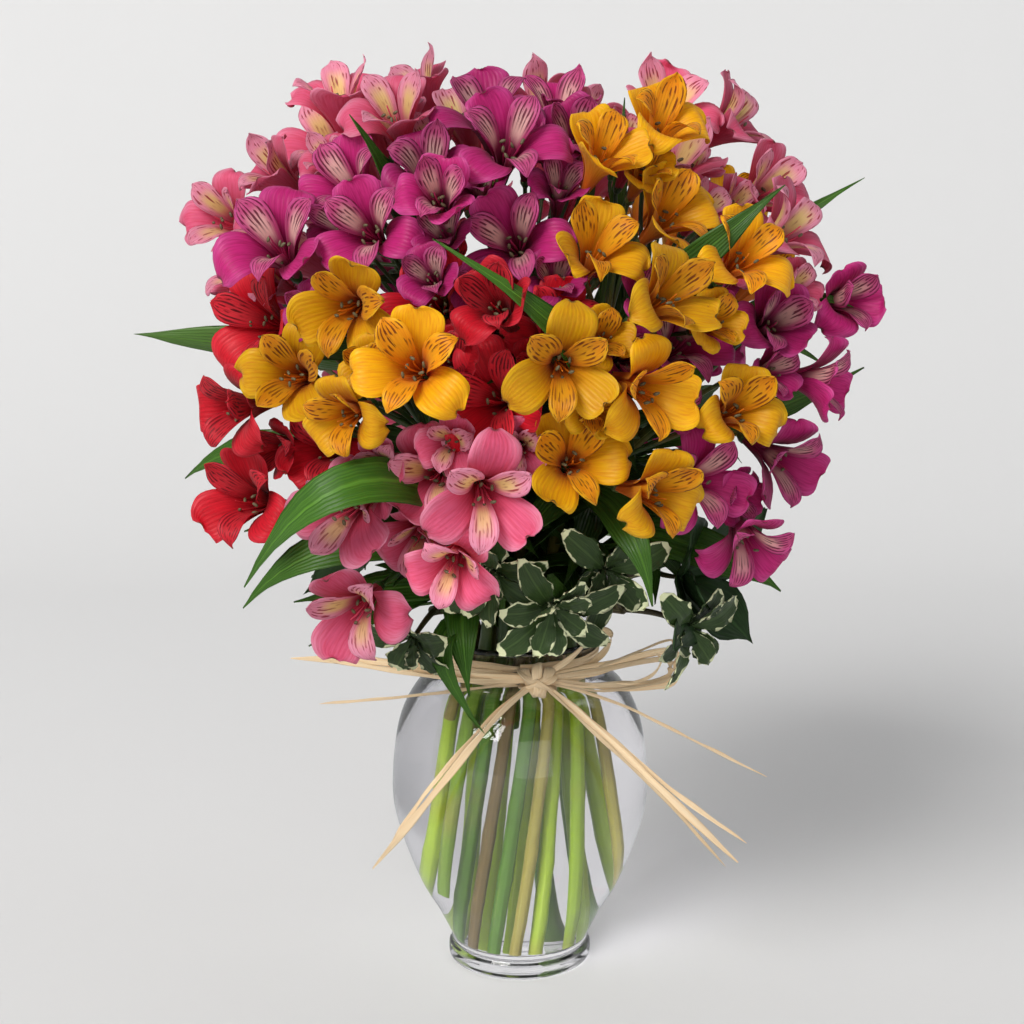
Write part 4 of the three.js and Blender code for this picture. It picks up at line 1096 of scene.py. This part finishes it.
# ----------------------------------------------------------------------
# Leafy stems: 19 cut alstroemeria stems, stripped of leaves below the vase's neck. The leaves are long,
# lance-shaped and twisted at the base, with parallel veins.
LEAVES = {  # how far along the stem's bend, the point that the leaf's curve leans to, its tip, its width
    "pink_left": [(0.95, (-122, -20, 320), (-188, 0, 322), 20)],
    "red_left": [(0.9, (-128, -42, 288), (-164, -8, 252), 18),
     (0.6, (-85, -50, 250), (-131, -42, 233), 15), (0.3, (-60, -45, 200), (-101, -47, 178), 12),
     (0.15, (-30, -80, 214), (-24, -70, 160), 16)],
    "pink_low": [(0.9, (-66, -198, 322), (-122, -108, 222), 20),
     (0.6, (-88, -100, 258), (-130, -60, 200), 19), (0.4, (-60, -72, 215), (-107, -52, 201), 13),
     (0.2, (-60, -86, 206), (-17, -70, 142), 11)],
    "red_mid": [(0.95, (72, -158, 314), (-36, -143, 376), 15)],
    "magenta_left": [(0.95, (-50, -64, 392), (-74, -84, 426), 11)],
    "yellow_right": [(0.95, (62, -130, 360), (110, -116, 397), 14),
     (0.9, (48, -30, 395), (48, -22, 434), 7)],
    "magenta_top": [(0.95, (46, -43, 400), (24, -62, 434), 8)],
    "pink_right": [(0.95, (118, -8, 372), (164, -4, 397), 7)],
    "magenta_right": [(0.9, (110, -58, 362), (152, -54, 340), 13),
     (0.8, (118, -48, 288), (160, -40, 311), 11)],
    "yellow_mid": [(0.85, (48, -128, 268), (57, -124, 218), 15)],
    "magenta_low": [(0.8, (90, -70, 235), (122, -58, 208), 18)],
    "magenta_rear": [(0.9, (-100, 80, 310), (-150, 66, 300), 13)],
    "pink_rear_low": [(0.8, (-80, 90, 250), (-122, 92, 205), 15),
     (0.5, (-50, 100, 235), (-66, 122, 190), 14)],
    "red_rear": [(0.9, (-30, 125, 285), (-52, 150, 250), 14),
     (0.7, (20, 120, 275), (24, 152, 232), 15)],
    "magenta_rear_low": [(0.8, (80, 95, 250), (118, 100, 208), 15),
     (0.4, (60, 90, 215), (84, 100, 180), 13)],
    "yellow_rear": [(0.9, (115, 75, 330), (158, 60, 300), 14)],
    "pink_rear_top": [(0.95, (-10, 100, 400), (-24, 128, 392), 11)],
}
LEAF_THICKNESS = 0.07  # of half the leaf's width
NODES_APART = 31  # between the rings that the leaves grew from
LEAF_SPREAD = 1.12
LEAF_TURN = 2.0  # how strongly an outer leaf shows its face to the bouquet's front or rear
INNER_LEAVES = 13
LEAF_REACH = 0.88  # of the way from the bouquet's middle to its outline
INNER_LENGTHS, INNER_HALF_WIDTHS, INNER_TURN = (50, 84), (6, 8.6), 2.4
STEM_STEPS = 25
NODE_SWELL, NODE_LENGTH = 0.32, 2.4


def stem_path(plant, rng):
    """The stem's points from its cut foot, and its radius at each of them."""
    path = [plant.foot.lerp(plant.neck, i / STEM_STEPS) for i in range(STEM_STEPS)]
    path += [plant.bend(i / STEM_STEPS) for i in range(STEM_STEPS + 1)]
    sizes, run, ring = [], 0.0, rng.uniform(0, NODES_APART)
    for i, point in enumerate(path):
        run += (point - path[i - 1]).length if i else 0.0
        beat = (run + ring) % NODES_APART
        swell = NODE_SWELL * math.exp(-(min(beat, NODES_APART - beat) / NODE_LENGTH) ** 2)
        sizes.append(STEM_RADIUS * (1.04 - 0.14 * i / len(path)) + swell)
    return path, sizes


def inner_leaves(growth, plant, rng, count):
    """Shorter leaves that fill the inside of the bouquet, round the stem's bend."""
    turn = rng.uniform(0, 2 * math.pi)
    for i in range(count):
        t = 0.06 + 0.88 * i / count
        start = plant.bend(t)
        along = (plant.bend(t + 0.05) - start).normalized()
        turn += INNER_TURN
        level = along.orthogonal().normalized()
        out = math.cos(turn) * level + math.sin(turn) * along.cross(level)
        way = (out + along * rng.uniform(0.2, 0.9) + Vector((0, 0, rng.uniform(-0.5, 0.3)))).normalized()
        length = rng.uniform(*INNER_LENGTHS)
        tip = start + way * length
        spot = Vector(((tip[k] - DOME_CENTRE[k]) / DOME_RADII[k] for k in range(3)))
        if spot.length > LEAF_REACH:
            tip = DOME_CENTRE + (tip - DOME_CENTRE) * LEAF_REACH / spot.length
        tip.z = max(tip.z, BEND_LEVEL + 0.3 * math.hypot(tip.x, tip.y))
        via = start.lerp(tip, 0.5) + along * length * 0.22
        bladed(growth, start, via, tip, along, rng.uniform(*INNER_HALF_WIDTHS), LANCE,
               rng.uniform(0, 0.5), rng.uniform(-50, 50))


for plant in plants:
    if not plant.flowers:
        continue
    rng = random.Random(plant.name + "_leaves")
    growth = Growth()
    path, sizes = stem_path(plant, rng)
    growth.stalk(path, sizes, rng.random())
    for along, via, tip, width in LEAVES.get(plant.name, ()):
        start, via, tip = plant.bend(along), Vector(via), Vector(tip)
        bend = (via - start.lerp(tip, 0.5)).normalized()
        facing = bend + LEAF_TURN * Vector((0, math.copysign(1, tip.y), 0.3))
        bladed(growth, start, via, tip, facing, LEAF_SPREAD * width / 2, LANCE, rng.uniform(0.7, 1.5))
    inner_leaves(growth, plant, rng, INNER_LEAVES)
    leafy = growth.grown(plant.name + "_leafy_stem", [stem_skin, leaf_skin], **{
        "Stem sides": 14, "Blade points": 14, "Blade thickness": LEAF_THICKNESS, "Edge wave": 0.0007})
    finish_piece(leafy, "stem_green", plant.name + "_stem")

# ----------------------------------------------------------------------
# Foliage sprigs: pittosporum with small cream-edged, wavy leaves in rosettes round the ends of its
# twigs, and a broad-leaved evergreen with large dark, glossy leaves.
variegated_leaf = leaf_material("pittosporum_leaf", 0.12, "2C3E1E", "4E6040", "465C30", "D2D6AC")
dark_leaf = leaf_material("broad_leaf", 0.15, "22381C", "3C5636", "3C5C30")
# stem colours: a green, a second green, the painted shade above the neck, and the flecks
woody_skin = stem_material("woody_stem", "A09844", "7A6634", "40381E", "5E3E22")
OVATE = [0.1, 0.22, 0.4, 0.6, 0.78, 0.91, 0.99, 1.0, 0.94, 0.82, 0.63, 0.4, 0.16, 0.02]
SPOON = [0.08, 0.13, 0.22, 0.35, 0.51, 0.67, 0.81, 0.92, 0.99, 1.0, 0.94, 0.8, 0.56, 0.22]
LEAF_KINDS = {  # material, widths, slot, and how the blades are folded and waved
    "pittosporum": (variegated_leaf, SPOON, "leaf_variegated",
                    {"Blade fold": 0.28, "Waves": 3.5, "Edge wave": 0.0011}),
    "broadleaf": (dark_leaf, OVATE, "leaf_dark", {"Blade fold": 0.18, "Waves": 2.0, "Edge wave": 0.0015}),
}
TWIGS = [  # sprig, leaves to a rosette, their reach, width and opening, turn, and the twigs' ends
    ("pittosporum_front", 7, 33, 13, 80, 0.3, [((-14, -98, 228), (-0.3, -0.85, -0.3)),
                                               ((14, -102, 212), (0.15, -0.85, -0.5))]),
    ("pittosporum_right", 6, 32, 13, 80, 0.3, [((38, -92, 226), (0.35, -0.9, -0.2)),
                                               ((76, -78, 196), (0.6, -0.7, -0.35))]),
    ("pittosporum_left", 5, 25, 14, 78, 0.3, [((-50, -70, 188), (-0.4, -0.7, -0.5))]),
    ("broadleaf_right", 4, 58, 31, 66, 0.5, [((76, -48, 212), (0.7, -0.62, 0.1))]),
    ("broadleaf_left", 4, 56, 30, 62, 0.9, [((-74, 12, 212), (-0.95, 0.05, 0.1))]),
    ("broadleaf_rear", 4, 58, 32, 64, 0.2, [((12, 84, 214), (0.1, 0.95, 0.1))]),
]


def rosette(growth, centre, towards, count, reach, width, opening, turn, rng, profile):
    """Leaves round a twig's end: the outer ring lies open, the inner one is smaller and stands up."""
    level = Vector((0, 0, 1)).cross(towards).normalized()
    top = towards.cross(level)
    for ring in range(2):
        leaves = count - 3 * ring
        for k in range(leaves):
            short = k % 2
            angle = turn + 2 * math.pi * (k + 0.5 * ring) / leaves + rng.uniform(-0.2, 0.2) * ring
            size = reach * (0.82 if short else 1) * (1 - 0.28 * ring)
            out = math.cos(angle) * level + math.sin(angle) * top
            lean = math.radians(opening - 14 * short - 22 * ring + rng.uniform(-8, 8))
            way = towards * math.cos(lean) + out * math.sin(lean)
            start = centre + towards * (2.0 * ring - 2.5)
            via = start + (towards + out) * size * 0.35
            bladed(growth, start, via, start + way * size, towards, width / 2 * (1 - 0.16 * ring), profile,
                   rng.uniform(0.2, 1.0), rng.uniform(-30, 30))


for name, count, reach, width, opening, turn, ends in TWIGS:
    plant = plant_named[name]
    rng = random.Random(name)
    leaf, profile, slot, blades = LEAF_KINDS[name.split("_")[0]]
    growth = Growth()
    path, sizes = stem_path(plant, rng)
    growth.stalk(path, [size * 0.86 for size in sizes], rng.random())
    root = plant.umbel - plant.towards.normalized() * 2
    for centre, towards in ends:
        end, way = Vector(centre), Vector(towards).normalized()
        twig = bezier(root, end - way * 14, end, 12)
        growth.stalk(twig, [1.7 - 0.06 * i for i in range(12)], rng.random())
        rosette(growth, end, way, count, reach, width, opening, turn, rng, profile)
    sprig = growth.grown(name + "_foliage", [woody_skin, leaf], **blades, **{
        "Stem sides": 12, "Blade points": 16, "Blade thickness": 0.06})
    finish_piece(sprig, slot, name + "_sprig")

# ----------------------------------------------------------------------
# Raffia: strips of dried palm leaf, wound round the vase's neck and knotted at the front, with a bow to
# the right and loose, split tails. The strips are flat, fibrous and stiff enough to stand out.
RAFFIA_KNOT = (8.5, -43.3, 160)
BAND_STRANDS, BAND_LEVEL, BAND_HEIGHT = 7, 155.8, 9.4
RAFFIA_TAILS = [  # points after the knot, width of the strip
    ([(-24, -46, 163), (-68, -36, 167), (-112, -30, 167)], 4.6),
    ([(-26, -47, 161), (-66, -38, 164), (-100, -31, 168)], 2.6),
    ([(-26, -46, 156), (-62, -40, 150), (-98, -34, 145)], 1.6),
    ([(-12, -60, 146), (-42, -62, 108), (-72, -50, 66)], 3.6),
    ([(-13, -58, 147), (-44, -59, 110), (-66, -51, 74)], 2.2),
    ([(34, -60, 143), (70, -60, 108), (106, -52, 70)], 3.8),
    ([(35, -58, 143), (72, -58, 110), (110, -52, 80)], 2.4),
    ([(32, -61, 142), (66, -60, 109), (100, -52, 68)], 1.8),
    ([(46, -48, 150), (84, -38, 128), (122, -30, 106)], 1.5),
]
RAFFIA_LOOPS = [
    ([(40, -46, 168), (72, -38, 173), (76, -36, 164), (70, -38, 156), (40, -47, 158)], 4.0),
    ([(38, -47, 166), (68, -39, 169), (73, -37, 163), (66, -39, 158), (38, -48, 159)], 3.0),
    ([(26, -42, 172), (38, -34, 182), (44, -34, 178), (34, -42, 168)], 3.0),
    ([(42, -46, 169), (70, -38, 178), (74, -37, 174), (74, -38, 160), (40, -48, 156)], 1.3),
    ([(36, -47, 164), (62, -41, 172), (68, -39, 168), (60, -42, 160), (34, -48, 158)], 1.6),
]
# turns of strip round the knot: their tilt, shift to the right and how much they are wider
KNOT_WRAPS = [(-24, -3.6, 0.5), (20, 3.4, 0.7), (0, -0.4, 1.1), (64, 0.6, 1.5), (-58, -0.4, 1.9)]


def raffia_material():
    """Dry, pale straw with long fibres."""
    material, tree, shader = new_material("raffia_strip", Roughness=0.8, Sheen_Weight=0.2)
    u, v, _ = mapped(tree).parted()
    tone = attribute(tree, "tone")
    fibre = noise(together(u * 26.0, v * 3.0, tone * 30.0), 1.0, 4.0)
    shade = fibre.ranged(0.32, 0.68).blend(paint("E8C492"), paint("FBE4C0"))
    feed(shader, {"Base Color": toned(shade, tone, 0.3, 0.85), "Normal": bumped(fibre, 0.7, 0.0005)})
    return material


def strip(growth, points, width, up, rng):
    """A flat strip along a path, with a little twist and an uneven width that runs out at its end."""
    path = [Vector(p) for p in points]
    sideways, sizes = [], []
    phase = rng.uniform(0, 6)
    for i, point in enumerate(path):
        along = direction(path, i)
        flat = up(point).cross(along).normalized()
        turn = Matrix.Rotation(0.35 * math.sin(0.35 * i + phase), 3, along)
        sideways.append(turn @ flat.cross(along))
        end = min(1.0, (len(path) - 1 - i) / 4 + 0.12)
        sizes.append(0.5 * width * end * (1 + 0.16 * math.sin(0.8 * i + phase)))
    growth.blade(path, sideways, sizes, rng.random())


raffia_rng = random.Random(11)
raffia = Growth()
upright = lambda point: Vector((0, 0, 1))
for k in range(BAND_STRANDS):
    level = BAND_LEVEL + BAND_HEIGHT * k / (BAND_STRANDS - 1)
    tilt, phase = raffia_rng.uniform(-1.4, 1.4), raffia_rng.uniform(0, 6)
    ring = []
    for i in range(73):
        angle = 2 * math.pi * i / 72 - math.pi / 2
        z = level + tilt * math.sin(angle + phase)
        radius = float(np.interp(z * MM, outside[30:, 1], outside[30:, 0])) / MM + 0.9 + 0.5 * (k % 2)
        ring.append((radius * math.cos(angle), radius * math.sin(angle), z))
    strip(raffia, ring, raffia_rng.uniform(2.4, 3.6), upright, raffia_rng)
for points, width in RAFFIA_TAILS:
    strip(raffia, smooth([RAFFIA_KNOT, *points], 10), width, upright, raffia_rng)
for points, width in RAFFIA_LOOPS:
    strip(raffia, smooth([RAFFIA_KNOT, *points, RAFFIA_KNOT], 8), width, upright, raffia_rng)
for tilt, shift, grow in KNOT_WRAPS:
    ring = []
    for i in range(25):
        angle = 2 * math.pi * i / 24
        wrap = Vector((shift, (4.6 + grow) * math.cos(angle), (7.0 + grow) * math.sin(angle)))
        ring.append(Vector(RAFFIA_KNOT) + Matrix.Rotation(math.radians(tilt), 3, "Y") @ wrap)
    strip(raffia, ring, 4.8, lambda point: Vector((1, 0, 0)), raffia_rng)
raffia_tie = raffia.grown("raffia_tie", [raffia_material()] * 2, **{
    "Blade points": 10, "Blade fold": 0.12, "Blade thickness": 0.14, "Edge wave": 0.0002, "Waves": 5.0})
finish_piece(raffia_tie, "raffia", "raffia")
